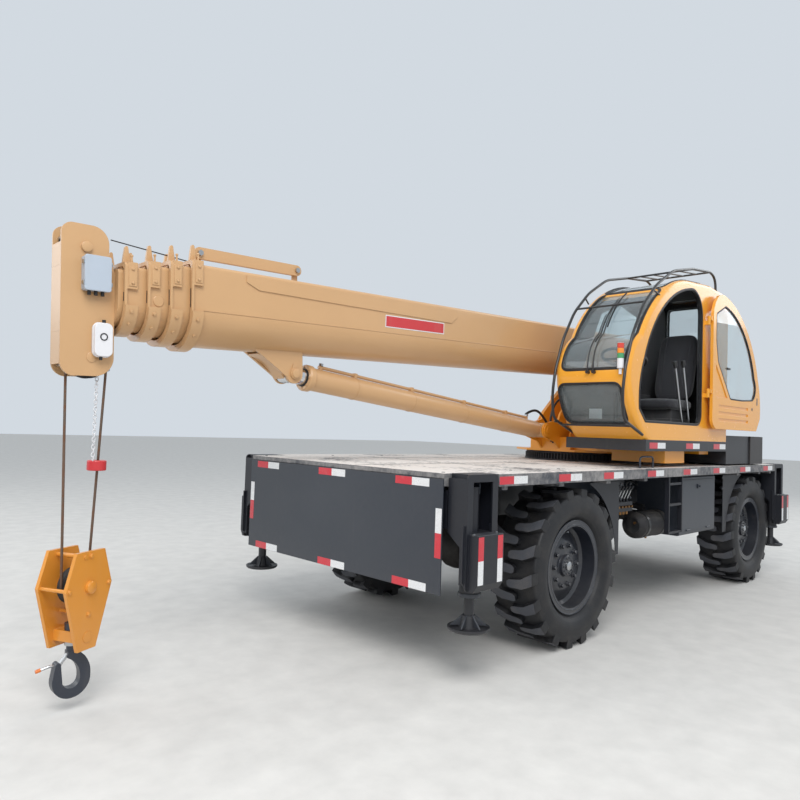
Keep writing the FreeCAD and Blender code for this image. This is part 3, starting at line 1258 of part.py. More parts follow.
def hook():
    """Point hook with its shank and nut, opening forward."""
    x, _ = hang_point()
    z = HOOK_BOTTOM + 96.0
    r = HOOK_BOWL_R
    outer = [(x - 98, z + 10), ((x - 62, z - 74), (x + 4, z - 96)), ((x + 74, z - 60), (x + 92, z + 20)),
             (x + 82, z + 84), ((x + 66, z + 98), (x + 54, z + 82)), (x + r, z), ((x, z - r), (x - r, z)),
             ((x - 30, z + 66), (x + 22, z + 116)), (x + 22, z + 150), (x - 24, z + 150),
             ((x - 72, z + 104), (x - 98, z + 10))]
    body = plate_xz(outer, -26, 26)
    shank = rod(24, (x, 0, z + 140), (x, 0, 470))
    nut = rod(38, (x, 0, 430.5), (x, 0, 466))
    return [fuse([body, shank, nut])]


def main():
    """Write every sub-part."""
    save("chassis_frame", chassis_frame())
    save("deck", deck())
    save("end_plates", end_plates())
    save("outrigger_housings", outrigger_housings())
    save("side_panels", side_panels())
    save("toolbox", toolbox())
    save("fuel_tank", fuel_tank())
    save("air_tank", air_tank())
    save("ladder", ladder())
    save("valve_bank", valve_bank())
    save("engine_block", engine_block())
    save("front_axle", front_axle())
    save("rear_axle", rear_axle())
    save("leaf_springs", leaf_springs())
    save("slew_ring", slew_ring())
    one_tyre, one_rim = tyre(), rim()
    for end, x in (("front", FRONT_AXLE_X), ("rear", REAR_AXLE_X)):
        for name, side in (("left", 1), ("right", -1)):
            save("tyre_%s_%s" % (end, name), place_wheel(one_tyre, x, side))
            save("rim_%s_%s" % (end, name), place_wheel(one_rim, x, side))
            sign = 1 if end == "front" else -1
            save("outrigger_beam_%s_%s" % (end, name), outrigger_beam(sign, side))
            save("jack_%s_%s" % (end, name), jack_rod(sign, side))
    for name, side in (("left", 1), ("right", -1)):
        save("knuckle_%s" % name, knuckle(side))
    save("side_platforms", side_platforms())
    save("turret", turret())
    save("tail_boxes", tail_boxes())
    save("counterweight", counterweight())
    save("winch", winch())
    save("hydraulic_tank", hydraulic_tank())
    save("cab_shell", cab_shell())
    save("cab_glass", cab_glass())
    save("cab_seat", cab_seat())
    save("cab_controls", cab_controls())
    save("guard_rails", guard_rails())
    save("cab_door", cab_door())
    save("door_glass", door_glass())
    save("boom_base", boom_base())
    for index in range(1, SECTION_COUNT):
        save("boom_section_%d" % (index + 1), boom_section(index))
    save("head_sheaves", head_sheaves())
    save("top_arm", top_arm())
    save("head_boxes", head_boxes())
    save("lift_barrel", lift_barrel())
    save("lift_rod", lift_rod())
    save("rope_falls", rope_falls())
    save("hook_block", hook_block())
    save("block_sheave", block_sheave())
    save("hook", hook())


main()
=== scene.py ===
"""Finishes, fittings and setting of a two-axle mobile crane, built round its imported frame.

Lengths are metres in the frame's own axes: X forward, Y to the machine's left, Z up.
"""

import logging
import math
from dataclasses import dataclass, field
from enum import Enum
from typing import Callable, Iterable, Sequence

import bpy
import numpy as np
from mathutils import Matrix, Vector


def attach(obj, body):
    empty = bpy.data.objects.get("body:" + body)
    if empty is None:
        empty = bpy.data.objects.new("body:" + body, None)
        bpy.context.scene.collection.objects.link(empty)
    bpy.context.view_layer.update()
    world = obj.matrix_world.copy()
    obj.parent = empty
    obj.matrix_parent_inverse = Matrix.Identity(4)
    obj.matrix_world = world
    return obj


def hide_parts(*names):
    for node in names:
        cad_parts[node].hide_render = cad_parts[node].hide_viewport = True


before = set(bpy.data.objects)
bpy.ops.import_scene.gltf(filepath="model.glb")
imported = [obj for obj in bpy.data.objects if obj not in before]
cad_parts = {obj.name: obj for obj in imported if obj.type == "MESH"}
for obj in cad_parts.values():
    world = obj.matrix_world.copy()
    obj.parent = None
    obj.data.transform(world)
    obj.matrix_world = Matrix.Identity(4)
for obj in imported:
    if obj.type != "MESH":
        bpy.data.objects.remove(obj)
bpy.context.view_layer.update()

LOG = logging.getLogger("crane")
Triple = tuple[float, float, float]
SMOOTH = math.radians(32.0)

# Places that several sub-assemblies share
DECK_TOP = 1.293
DECK_SIDE = 1.220
FRONT_FACE = 1.987
LEG_X = {"front": 1.799, "rear": -3.725}
AXLE_X = {"front": 0.573, "rear": -3.052}
WHEEL_Z = 0.578
TRACK_HALF = 0.960
PLATFORM_SIDE = 1.225
BOOM_FOOT = (-2.463, 2.445)
BOOM_ANGLE = math.radians(2.15)
HANG = (6.202, -0.333)
TOP_SHEAVE = (6.238, 0.251)
SLEW_X = -1.413
Socket = bpy.types.NodeSocket


class Side(Enum):
    """Side of the machine, by the sign of Y."""

    LEFT = 1
    RIGHT = -1


# Surfaces as arrays


@dataclass
class Patch:
    """Points and faces of one surface.

    Args:
        points: array of shape (n, 3).
        faces: arrays of point numbers, one array for each number of corners.
    """

    points: np.ndarray
    faces: list[np.ndarray]

    def moved(self, x: float = 0.0, y: float = 0.0, z: float = 0.0) -> "Patch":
        """The same surface shifted."""
        return Patch(self.points + np.array([x, y, z]), self.faces)

    def mapped(self, columns: np.ndarray, origin: Sequence[float]) -> "Patch":
        """Turn and shift: point = origin + columns @ point, flipping faces where the turn mirrors."""
        columns = np.asarray(columns, float)
        faces = self.faces if np.linalg.det(columns) > 0 else [f[:, ::-1] for f in self.faces]
        return Patch(self.points @ columns.T + np.asarray(origin, float), faces)

    def mirrored(self) -> "Patch":
        """The same surface on the machine's other side, y to -y."""
        return self.mapped(np.diag([1.0, -1.0, 1.0]), (0, 0, 0))


def join(patches: Iterable[Patch]) -> Patch:
    """One patch made of several, points numbered on."""
    points, faces, count = [], [], 0
    for patch in patches:
        points.append(patch.points)
        faces += [f + count for f in patch.faces]
        count += len(patch.points)
    return Patch(np.concatenate(points), faces)


def repeat(patch: Patch, offsets: np.ndarray) -> Patch:
    """Copies of a patch at every row of offsets, worked out as one array."""
    offsets = np.atleast_2d(np.asarray(offsets, float))
    n = len(patch.points)
    points = (patch.points[None] + offsets[:, None]).reshape(-1, 3)
    step = (np.arange(len(offsets)) * n)[:, None, None]
    return Patch(points, [(f[None] + step).reshape(-1, f.shape[1]) for f in patch.faces])


def sheet(points: np.ndarray, close_u: bool = False, close_v: bool = False) -> Patch:
    """Quads between neighbouring points of a (u, v, 3) grid, wrapping where asked."""
    nu, nv = points.shape[:2]
    u = np.arange(nu if close_u else nu - 1)
    v = np.arange(nv if close_v else nv - 1)
    uu, vv = np.meshgrid(u, v, indexing="ij")
    u1, v1 = (uu + 1) % nu, (vv + 1) % nv
    quads = np.stack([uu * nv + vv, u1 * nv + vv, u1 * nv + v1, uu * nv + v1], -1).reshape(-1, 4)
    return Patch(points.reshape(-1, 3), [quads])


def outward(patch: Patch) -> Patch:
    """A closed surface with its faces looking out: the volume under them, a sum of cones, is positive."""
    centre = patch.points.mean(axis=0)
    total = 0.0
    for f in patch.faces:
        p = patch.points[f] - centre
        area = np.cross(p, np.roll(p, -1, axis=1)).sum(axis=1)
        total += float(np.einsum("ij,ij->", p[:, 0], area))
    return patch if total > 0 else Patch(patch.points, [f[:, ::-1] for f in patch.faces])


def capped(points: np.ndarray) -> Patch:
    """Grid closed round v, with a flat face over its first and last row."""
    skin = sheet(points, close_v=True)
    rows, ring = points.shape[0], np.arange(points.shape[1])[None]
    skin.faces += [ring, ring[:, ::-1] + (rows - 1) * ring.size]
    return outward(skin)


AXES = {"x": ((1, 0, 0), (0, 1, 0), (0, 0, 1)), "y": ((0, 1, 0), (0, 0, 1), (1, 0, 0)),
        "z": ((0, 0, 1), (1, 0, 0), (0, 1, 0))}


def turned(profile: Sequence[tuple[float, float]], centre: Triple, axis: str = "y",
           sides: int = 32, loop: bool = False) -> Patch:
    """Profile of (along, radius) turned round an axis: point = centre + along*a + radius*(cos t*b + sin t*c).

    Args:
        profile: rows of (along, radius).
        centre: point on the axis.
        axis: x, y or z.
        sides: faces round the axis.
        loop: the profile is a closed section, so the surface is a ring without end faces.
    """
    p = np.array(profile, float)
    t = np.linspace(0, 2 * math.pi, sides, endpoint=False)
    a, b, c = (np.array(k, float) for k in AXES[axis])
    ring = np.cos(t)[:, None] * b + np.sin(t)[:, None] * c
    points = np.array(centre) + p[:, :1, None] * a + p[:, 1:, None] * ring
    return outward(sheet(points, True, True)) if loop else capped(points)


def band(at: float, half: float, inner: float, outer: float, centre: Triple, axis: str, sides: int) -> Patch:
    """Ring round an axis, from one radius to another, half its width to each side of a place along it."""
    profile = [(at - half, inner), (at - half, outer), (at + half, outer), (at + half, inner)]
    return turned(profile, centre, axis, sides, loop=True)


def spin(angle: float, axis: str = "y") -> np.ndarray:
    """Columns of a turn about Y or Z."""
    c, s = math.cos(angle), math.sin(angle)
    return np.array([[c, 0, s], [0, 1, 0], [-s, 0, c]] if axis == "y" else [[c, -s, 0], [s, c, 0], [0, 0, 1]])


def brick(corner: Sequence[float], a: Sequence[float], b: Sequence[float], c: Sequence[float]) -> Patch:
    """Box at a corner with three edges given as vectors."""
    o, a, b, c = (np.array(k, float) for k in (corner, a, b, c))
    ring = np.array([o, o + a, o + a + b, o + b])
    return capped(np.stack([ring, ring + c]))


def block(lo: Triple, hi: Triple) -> Patch:
    """Box between two corners."""
    d = np.array(hi, float) - np.array(lo, float)
    return brick(lo, (d[0], 0, 0), (0, d[1], 0), (0, 0, d[2]))


def slab(outline: np.ndarray, lo: float, hi: float) -> Patch:
    """Flat outline in X and Z pushed between two levels of Y."""
    flat = np.asarray(outline, float)
    return capped(np.stack([np.insert(flat, 1, level, axis=1) for level in (lo, hi)]))


def spread(outline: np.ndarray, count: int) -> np.ndarray:
    """Closed outline walked at equal steps of its length."""
    o = np.concatenate([outline, outline[:1]])
    run = np.concatenate([[0.0], np.cumsum(np.linalg.norm(np.diff(o, axis=0), axis=1))])
    at = np.linspace(0, run[-1], count, endpoint=False)
    return np.stack([np.interp(at, run, o[:, k]) for k in range(o.shape[1])], 1)


def trim(path: np.ndarray, normal: np.ndarray, section: Sequence[tuple[float, float]]) -> Patch:
    """Strip swept round a closed path: each section point is path + a*(normal x tangent) + b*normal."""
    tangent = np.roll(path, -1, axis=0) - np.roll(path, 1, axis=0)
    tangent /= np.linalg.norm(tangent, axis=1)[:, None]
    normal = np.broadcast_to(np.asarray(normal, float), path.shape)
    across = np.cross(normal, tangent)
    s = np.array(section, float)
    points = path[:, None] + s[None, :, :1] * across[:, None] + s[None, :, 1:] * normal[:, None]
    return outward(sheet(points, True, True))


def studs(places: np.ndarray, ways: np.ndarray, radius: float, height: float, sides: int = 6) -> Patch:
    """Bolt heads standing on a surface: a small prism on a washer at each place, along its way."""
    places, ways = np.atleast_2d(np.asarray(places, float)), np.atleast_2d(np.asarray(ways, float))
    ways = np.broadcast_to(ways / np.linalg.norm(ways, axis=1)[:, None], places.shape)
    helper = np.where(np.abs(ways[:, 2:]) < 0.9, [[0.0, 0.0, 1.0]], [[1.0, 0.0, 0.0]])
    u = np.cross(ways, helper)
    u /= np.linalg.norm(u, axis=1)[:, None]
    v = np.cross(ways, u)
    out = []
    for count, rows in ((16, ((-0.1, 1.35), (0.22, 1.35))), (sides, ((0.2, 1.0), (0.88, 1.0), (1.0, 0.82)))):
        t = np.linspace(0, 2 * math.pi, count, endpoint=False)
        ring = np.cos(t)[None, :, None] * u[:, None] + np.sin(t)[None, :, None] * v[:, None]
        for place, way, one in zip(places, ways, ring):
            out.append(capped(np.stack([place + way * h * height + one * k * radius for h, k in rows])))
    return join(out)


def round_box(a0: float, a1: float, b0: float, b1: float, r: float, steps: int = 6) -> np.ndarray:
    """Outline of a rectangle with round corners: four quarter circles joined by straight runs."""
    t = np.linspace(0, math.pi / 2, steps)
    corners = [(a1 - r, b1 - r, 0.0), (a0 + r, b1 - r, 0.5), (a0 + r, b0 + r, 1.0), (a1 - r, b0 + r, 1.5)]
    rows = [np.stack([ca + r * np.cos(t + k * math.pi), cb + r * np.sin(t + k * math.pi)], 1)
            for ca, cb, k in corners]
    return np.concatenate(rows)


def curve_through(points: Sequence[Triple], count: int) -> np.ndarray:
    """Catmull-Rom curve: cubic blends of each four neighbouring points, count rows in all."""
    p = np.array(points, float)
    p = np.concatenate([2 * p[:1] - p[1:2], p, 2 * p[-1:] - p[-2:-1]])
    s = np.linspace(0, len(p) - 3 - 1e-9, count)
    i = s.astype(int)
    f = (s - i)[:, None]
    a, b, c, d = p[i], p[i + 1], p[i + 2], p[i + 3]
    return 0.5 * (2 * b + (c - a) * f + (2 * a - 5 * b + 4 * c - d) * f ** 2 + (3 * b - a - 3 * c + d) * f ** 3)


def tube(path: np.ndarray, radius: float | np.ndarray, sides: int = 10, side_way: Triple = (0.0, 1.0, 0.0)) -> Patch:
    """Round tube along a path: rings square to the path's tangent, closed at both ends."""
    path = np.asarray(path, float)
    tangent = np.gradient(path, axis=0)
    tangent /= np.linalg.norm(tangent, axis=1)[:, None]
    b = np.cross(tangent, np.array(side_way))
    b /= np.linalg.norm(b, axis=1)[:, None]
    c = np.cross(tangent, b)
    t = np.linspace(0, 2 * math.pi, sides, endpoint=False)
    r = np.broadcast_to(np.asarray(radius, float), (len(path),))[:, None, None]
    ring = np.cos(t)[None, :, None] * b[:, None] + np.sin(t)[None, :, None] * c[:, None]
    return capped(path[:, None] + r * ring)


def rod(start: Triple, end: Triple, radius: float, sides: int = 16) -> Patch:
    """Straight round bar."""
    way = np.array(end, float) - np.array(start, float)
    side = (0.0, 1.0, 0.0) if abs(way[1]) < 0.9 * np.linalg.norm(way) else (1.0, 0.0, 0.0)
    return tube(np.array([start, end], float), radius, sides, side)


def grid(*axes: Sequence[float]) -> np.ndarray:
    """Every combination of the given coordinates, as rows."""
    return np.stack(np.meshgrid(*axes, indexing="ij"), -1).reshape(-1, len(axes)).astype(float)


def on_boom(patch: Patch) -> Patch:
    """A patch drawn in the boom's own axes, laid on the parked boom."""
    return patch.mapped(spin(BOOM_ANGLE), (BOOM_FOOT[0], 0, BOOM_FOOT[1]))


def piece(name: str, patch: Patch, body: str, finish: "Finish", bevel: float = 0.0,
          flat: bool = False) -> bpy.types.Object:
    """Make a patch an object that rides on a body.

    Args:
        name: the object's name.
        patch: its surface.
        body: the body that carries it.
        finish: what it is painted or made of.
        bevel: width of the rounding of its edges, or 0 for none.
        flat: keep every face flat-shaded.

    Returns:
        The new object.
    """
    mesh = bpy.data.meshes.new(name)
    faces = [tuple(row) for group in patch.faces for row in group.tolist()]
    mesh.from_pydata(patch.points.tolist(), [], faces)
    mesh.validate()
    if not flat:
        mesh.polygons.foreach_set("use_smooth", np.ones(len(mesh.polygons), bool))
        mesh.set_sharp_from_angle(angle=SMOOTH)
    obj = bpy.data.objects.new(name, mesh)
    bpy.context.scene.collection.objects.link(obj)
    if bevel:
        mod = obj.modifiers.new("Rounded edges", "BEVEL")
        mod.width, mod.segments, mod.limit_method, mod.angle_limit = bevel, 2, "ANGLE", math.radians(35)
    mesh.materials.append(finish.material())
    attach(obj, body)
    LOG.info("%s: %d faces on %s", name, len(faces), body)
    return obj


# Shader nodes


class Graph:
    """Adds and links the nodes of one material or node group."""

    def __init__(self, tree: bpy.types.NodeTree) -> None:
        """Start with an empty tree."""
        self.tree = tree
        tree.nodes.clear()

    def add(self, kind: str, props: dict | None = None, **sockets) -> bpy.types.Node:
        """Add a node, set its properties, then fill or link its inputs.

        Args:
            kind: the node's type without the ShaderNode prefix.
            props: node properties by name.
            sockets: values or outputs by input name, with spaces written as underscores.

        Returns:
            The new node.
        """
        node = self.tree.nodes.new(kind if kind.startswith("NodeGroup") else "ShaderNode" + kind)
        for key, value in (props or {}).items():
            setattr(node, key, value)
        self.fill(node, **sockets)
        return node

    def fill(self, node: bpy.types.Node, **sockets) -> None:
        """Set or link a node's inputs by name."""
        for key, value in sockets.items():
            self.feed(self.socket(node, key), value)

    @staticmethod
    def socket(node: bpy.types.Node, key: str) -> Socket:
        """The input called key, or numbered where key is i0, i1 and so on."""
        if key[0] == "i" and key[1:].isdigit():
            return node.inputs[int(key[1:])]
        return node.inputs[key.replace("_", " ")]

    def feed(self, socket: Socket, value) -> None:
        """Link an output to the input, or set the input's own value."""
        if isinstance(value, Socket):
            self.tree.links.new(value, socket)
        else:
            socket.default_value = value

    def math(self, operation: str, a, b=0.0, clamp: bool = False) -> Socket:
        """Output of a Math node."""
        return self.add("Math", {"operation": operation, "use_clamp": clamp}, i0=a, i1=b).outputs[0]

    def mul(self, a, b, clamp: bool = False) -> Socket:
        """Product of two values."""
        return self.math("MULTIPLY", a, b, clamp)

    def plus(self, a, b, clamp: bool = False) -> Socket:
        """Sum of two values."""
        return self.math("ADD", a, b, clamp)

    def dot(self, a, b) -> Socket:
        """Dot product of two vectors."""
        return self.add("VectorMath", {"operation": "DOT_PRODUCT"}, i0=a, i1=b).outputs["Value"]

    def at(self) -> Socket:
        """Object coordinates."""
        return self.add("TexCoord").outputs["Object"]

    def facing(self) -> Socket:
        """Shading normal."""
        return self.add("NewGeometry").outputs["Normal"]

    def bump(self, **sockets) -> Socket:
        """Normal output of a Bump node."""
        return self.add("Bump", None, **sockets).outputs[0]

    def grey(self, value) -> Socket:
        """Grey colour of one value."""
        return self.add("CombineColor", None, Red=value, Green=value, Blue=value).outputs[0]

    def noise(self, coordinates, scale: float, detail: float = 4.0, rough: float = 0.55) -> Socket:
        """Factor output of a Noise texture."""
        return self.add("TexNoise", None, Vector=coordinates, Scale=scale, Detail=detail,
                        Roughness=rough).outputs["Fac"]

    def ramp(self, value, low: float, high: float, out: tuple[float, float] = (0.0, 1.0)) -> Socket:
        """Value stretched from low..high to out, held at its ends and eased."""
        return self.add("MapRange", {"interpolation_type": "SMOOTHSTEP"}, Value=value, i1=low, i2=high,
                        i3=out[0], i4=out[1]).outputs[0]

    def mix(self, factor, a, b, blend: str = "MIX") -> Socket:
        """Colour output of a Mix node."""
        return self.add("Mix", {"data_type": "RGBA", "blend_type": blend}, i0=factor, i6=a, i7=b).outputs[2]


def rgb(r: float, g: float, b: float) -> tuple[float, float, float, float]:
    """Linear colour from screen values of 0 to 255."""
    return tuple(((k / 255.0) / 12.92 if k / 255.0 <= 0.04045 else ((k / 255.0 + 0.055) / 1.055) ** 2.4)
                 for k in (r, g, b)) + (1.0,)


def new_group(name: str, inputs: Sequence[tuple[str, str]], outputs: Sequence[tuple[str, str]]
              ) -> tuple[bpy.types.NodeTree, Graph, bpy.types.Node, bpy.types.Node]:
    """Empty node group with named sockets, its graph and its two end nodes."""
    tree = bpy.data.node_groups.new(name, "ShaderNodeTree")
    for title, kind in inputs:
        tree.interface.new_socket(title, in_out="INPUT", socket_type="NodeSocket" + kind)
    for title, kind in outputs:
        tree.interface.new_socket(title, in_out="OUTPUT", socket_type="NodeSocket" + kind)
    graph = Graph(tree)
    return tree, graph, graph.add("NodeGroupInput"), graph.add("NodeGroupOutput")


class Effects:
    """Node groups that several finishes share, each built once."""

    _made: dict[str, bpy.types.NodeTree] = {}

    @classmethod
    def get(cls, name: str, maker: Callable[[], bpy.types.NodeTree]) -> bpy.types.NodeTree:
        """The group of that name, made at its first use."""
        if name not in cls._made:
            cls._made[name] = maker()
        return cls._made[name]

    @staticmethod
    def weathering() -> bpy.types.NodeTree:
        """Dust on what faces up, streaks down what stands, patchy tone and fine grain."""
        tree, g, src, out = new_group(
            "Weathering", [("Color", "Color"), ("Dust Color", "Color"), ("Dust", "Float"), ("Streaks", "Float"),
                           ("Low Dirt", "Float")],
            [("Color", "Color"), ("Roughness", "Float"), ("Height", "Float")])
        at = g.at()
        up = g.ramp(g.add("SeparateXYZ", None, Vector=g.facing()).outputs["Z"], 0.15, 0.95)
        height = g.add("SeparateXYZ", None, Vector=at).outputs["Z"]
        broad = g.noise(at, 1.6, 5.0)
        fine = g.noise(at, 26.0, 8.0, 0.65)
        tone = g.plus(g.mul(broad, 0.16), 0.92)
        colour = g.mix(1.0, src.outputs["Color"], g.grey(tone), "MULTIPLY")
        cover = g.ramp(g.plus(g.mul(broad, 0.6), g.mul(fine, 0.5)), 0.36, 0.72)
        level = g.plus(g.mul(up, 0.85), 0.15)
        dust = g.mul(g.mul(cover, level), src.outputs["Dust"], True)
        stretch = g.add("Mapping", None, Vector=at, Scale=(11.0, 11.0, 0.7)).outputs[0]
        streak = g.ramp(g.noise(stretch, 1.0, 5.0), 0.52, 0.78)
        streak = g.mul(g.mul(streak, g.math("SUBTRACT", 1.0, up)), src.outputs["Streaks"])
        low = g.mul(g.ramp(g.plus(height, g.mul(fine, 0.5)), 1.25, 0.35),
                     src.outputs["Low Dirt"])
        mask = g.math("MAXIMUM", g.math("MAXIMUM", dust, streak), low, True)
        g.fill(out, Color=g.mix(mask, colour, src.outputs["Dust Color"]),
               Roughness=g.plus(g.mul(mask, 0.35), g.mul(fine, 0.08)), Height=fine)
        return tree

    @staticmethod
    def edge_wear() -> bpy.types.NodeTree:
        """Rounded-edge normal, and a worn colour where that normal turns away from the face."""
        tree, g, src, out = new_group(
            "Edge wear", [("Color", "Color"), ("Worn Color", "Color"), ("Amount", "Float"), ("Radius", "Float")],
            [("Color", "Color"), ("Mask", "Float"), ("Normal", "Vector")])
        soft = g.add("Bevel", {"samples": 4}, Radius=src.outputs["Radius"]).outputs[0]
        grain = g.ramp(g.noise(g.at(), 34.0, 6.0, 0.7), 0.42, 0.64)
        edge = g.mul(g.ramp(g.dot(soft, g.facing()), 0.985, 0.90), grain)
        mask = g.mul(edge, src.outputs["Amount"], True)
        g.fill(out, Color=g.mix(mask, src.outputs["Color"], src.outputs["Worn Color"]), Mask=mask, Normal=soft)
        return tree


@dataclass(frozen=True)
class Finish:
    """A named surface finish. Its material is built once.

    Args:
        name: the material's name.
        colour: screen colour, 0 to 255.
        rough: roughness of the clean surface.
    """

    name: str
    colour: Triple
    rough: float = 0.45

    def material(self) -> bpy.types.Material:
        """The finish's material, built at its first use."""
        found = bpy.data.materials.get(self.name)
        if found is None:
            found = bpy.data.materials.new(self.name)
            found.use_nodes = True
            graph = Graph(found.node_tree)
            shader = graph.add("BsdfPrincipled")
            graph.add("OutputMaterial", None, Surface=shader.outputs[0])
            self.dress(graph, shader)
            found.diffuse_color = rgb(*self.colour)
        return found

    def dress(self, g: Graph, shader: bpy.types.Node) -> None:
        """Fill the shader: here a grained surface of one colour with slight mottling."""
        at = g.at()
        fine = g.noise(at, 60.0, 6.0)
        tone = g.plus(g.mul(g.noise(at, 5.0), 0.3), 0.85)
        g.fill(shader, Base_Color=g.mix(1.0, rgb(*self.colour), g.grey(tone), "MULTIPLY"),
               Roughness=g.plus(g.mul(fine, 0.2), self.rough - 0.1),
               Normal=g.bump(Strength=0.15, Distance=0.002, Height=fine))


@dataclass(frozen=True)
class Paint(Finish):
    """Sprayed paint with dust, streaks and worn edges.

    Args:
        dust: how much dust lies on what faces up, 0 to 1.
        streaks: how strong the runs down its sides are.
        low_dirt: road dirt near the ground.
        wear: how far edges are worn.
        worn: screen colour of worn edges.
        gloss: weight of the clear coat.
        edge: radius of its rounded edges.
        dust_colour: screen colour of the dust.
        metal: metallic value.
    """

    dust: float = 0.35
    streaks: float = 0.08
    low_dirt: float = 0.0
    wear: float = 0.25
    worn: Triple = (120, 110, 100)
    gloss: float = 0.25
    edge: float = 0.004
    dust_colour: Triple = (176, 166, 150)
    metal: float = 0.0

    def dress(self, g: Graph, shader: bpy.types.Node) -> None:
        """Weathering over the paint, then worn edges, then orange-peel bump on the rounded normal."""
        weather = g.add("Group", {"node_tree": Effects.get("weathering", Effects.weathering)},
                        Color=rgb(*self.colour), Dust_Color=rgb(*self.dust_colour), Dust=self.dust,
                        Streaks=self.streaks, Low_Dirt=self.low_dirt)
        edge = g.add("Group", {"node_tree": Effects.get("edge_wear", Effects.edge_wear)},
                     Color=weather.outputs["Color"], Worn_Color=rgb(*self.worn), Amount=self.wear, Radius=self.edge)
        normal = g.bump(Strength=0.12, Distance=0.001, Height=weather.outputs["Height"], Normal=edge.outputs["Normal"])
        g.fill(shader, Base_Color=edge.outputs["Color"], Normal=normal, Metallic=self.metal,
               Roughness=g.plus(weather.outputs["Roughness"], self.rough, True), Coat_Weight=self.gloss,
               Coat_Roughness=0.12)


@dataclass(frozen=True)
class ShadeLinedPaint(Paint):
    """Paint outside, and a dark colour as painted shade on what faces a middle point from within a band of Y.

    Args:
        middle: point inside the cab.
        reach: half width of the band, up to the inner faces of the side walls.
        lining: screen colour of the painted shade inside.
    """

    middle: Triple = (-1.1, 0.8825, 2.2)
    reach: float = 0.338
    lining: Triple = (46, 46, 48)

    def dress(self, g: Graph, shader: bpy.types.Node) -> None:
        """Mask = (the normal looks at the middle) x (Y lies in the band): there a dark colour, painted shade inside the
        cab, goes over the painted colour.
        """
        super().dress(g, shader)
        way = g.add("VectorMath", {"operation": "SUBTRACT"}, i0=self.middle, i1=g.at()).outputs[0]
        inward = g.math("GREATER_THAN", g.dot(way, g.facing()), 0.0)
        across = g.add("SeparateXYZ", None, Vector=way).outputs["Y"]
        band = g.math("LESS_THAN", g.math("ABSOLUTE", across), self.reach)
        painted = shader.inputs["Base Color"].links[0].from_socket
        mask = g.mul(inward, band)
        g.fill(shader, Base_Color=g.mix(mask, painted, rgb(*self.lining)),
               Coat_Weight=g.mul(g.math("SUBTRACT", 1.0, mask), self.gloss))


@dataclass(frozen=True)
class Rubber(Finish):
    """Moulded rubber with pale dust held in its grain."""

    dust: float = 0.3

    def dress(self, g: Graph, shader: bpy.types.Node) -> None:
        """Dark rubber, mottled by dust, with a fine grain."""
        at = g.at()
        fine = g.noise(at, 90.0, 6.0, 0.7)
        broad = g.noise(at, 7.0, 5.0)
        cover = g.ramp(g.plus(g.mul(fine, 0.4), g.mul(broad, 0.6)), 0.42, 0.75)
        mask = g.mul(cover, self.dust)
        g.fill(shader, Base_Color=g.mix(mask, rgb(*self.colour), rgb(140, 130, 118)),
               Roughness=g.plus(g.mul(mask, 0.3), self.rough),
               Normal=g.bump(Strength=0.3, Distance=0.0015, Height=fine))


@dataclass(frozen=True)
class Metal(Finish):
    """Bare or plated metal with fine scratches.

    Args:
        along: scale of the scratches along X, Y and Z.
        rust: share of the surface that is brown.
    """

    along: Triple = (4.0, 60.0, 60.0)
    rust: float = 0.0

    def dress(self, g: Graph, shader: bpy.types.Node) -> None:
        """Scratches from a stretched noise, and rust where a broad noise is high."""
        at = g.at()
        line = g.noise(g.add("Mapping", None, Vector=at, Scale=self.along).outputs[0], 3.0, 4.0)
        spots = g.mul(g.ramp(g.noise(at, 30.0, 8.0, 0.7), 0.40, 0.62), self.rust)
        rough = g.plus(g.mul(line, 0.18), g.mul(spots, 0.4))
        g.fill(shader, Base_Color=g.mix(spots, rgb(*self.colour), rgb(112, 72, 46)),
               Metallic=g.math("SUBTRACT", 1.0, spots), Roughness=g.plus(rough, self.rough - 0.09),
               Normal=g.bump(Strength=0.1, Distance=0.0005, Height=line))


@dataclass(frozen=True)
class Glass(Finish):
    """Clear pane with a faint film of dust."""

    tint: float = 0.9

    def dress(self, g: Graph, shader: bpy.types.Node) -> None:
        """Transmission with roughness that rises a little in the dusty patches."""
        at = g.at()
        film = g.ramp(g.noise(at, 3.0, 6.0), 0.45, 0.8)
        g.fill(shader, Base_Color=g.mix(film, rgb(*self.colour), rgb(225, 228, 228)), Roughness=g.mul(film, 0.06),
               Transmission_Weight=self.tint, IOR=1.42)


@dataclass(frozen=True)
class Tape(Finish):
    """Reflective tape with its honeycomb of cells."""

    def dress(self, g: Graph, shader: bpy.types.Node) -> None:
        """Cell borders a little darker than the cells, under a clear coat."""
        at = g.at()
        cells = g.add("TexVoronoi", {"feature": "DISTANCE_TO_EDGE"}, Vector=at, Scale=190.0).outputs[0]
        line = g.ramp(cells, 0.0, 0.12)
        soil = g.ramp(g.noise(at, 18.0, 6.0), 0.5, 0.85)
        dark = tuple(k * 0.72 for k in rgb(*self.colour)[:3]) + (1.0,)
        colour = g.mix(line, dark, rgb(*self.colour))
        g.fill(shader, Base_Color=g.mix(g.mul(soil, 0.25), colour, rgb(150, 140, 130)),
               Roughness=g.plus(g.mul(soil, 0.3), self.rough), Coat_Weight=0.5)


@dataclass(frozen=True)
class Cloth(Finish):
    """Woven seat fabric."""

    def dress(self, g: Graph, shader: bpy.types.Node) -> None:
        """Two crossed waves make the weave, with a broad noise for wear."""
        at = g.at()
        weave = g.mul(*(g.add("TexWave", {"bands_direction": way}, Vector=at, Scale=160.0).outputs["Fac"]
                        for way in "XY"))
        tone = g.plus(g.mul(weave, 0.35), g.mul(g.noise(at, 8.0), 0.3))
        pale = tuple(min(1.0, k * 2.6 + 0.01) for k in rgb(*self.colour)[:3]) + (1.0,)
        g.fill(shader, Base_Color=g.mix(tone, rgb(*self.colour), pale), Roughness=self.rough, Sheen_Weight=0.3,
               Normal=g.bump(Strength=0.4, Distance=0.001, Height=weave))


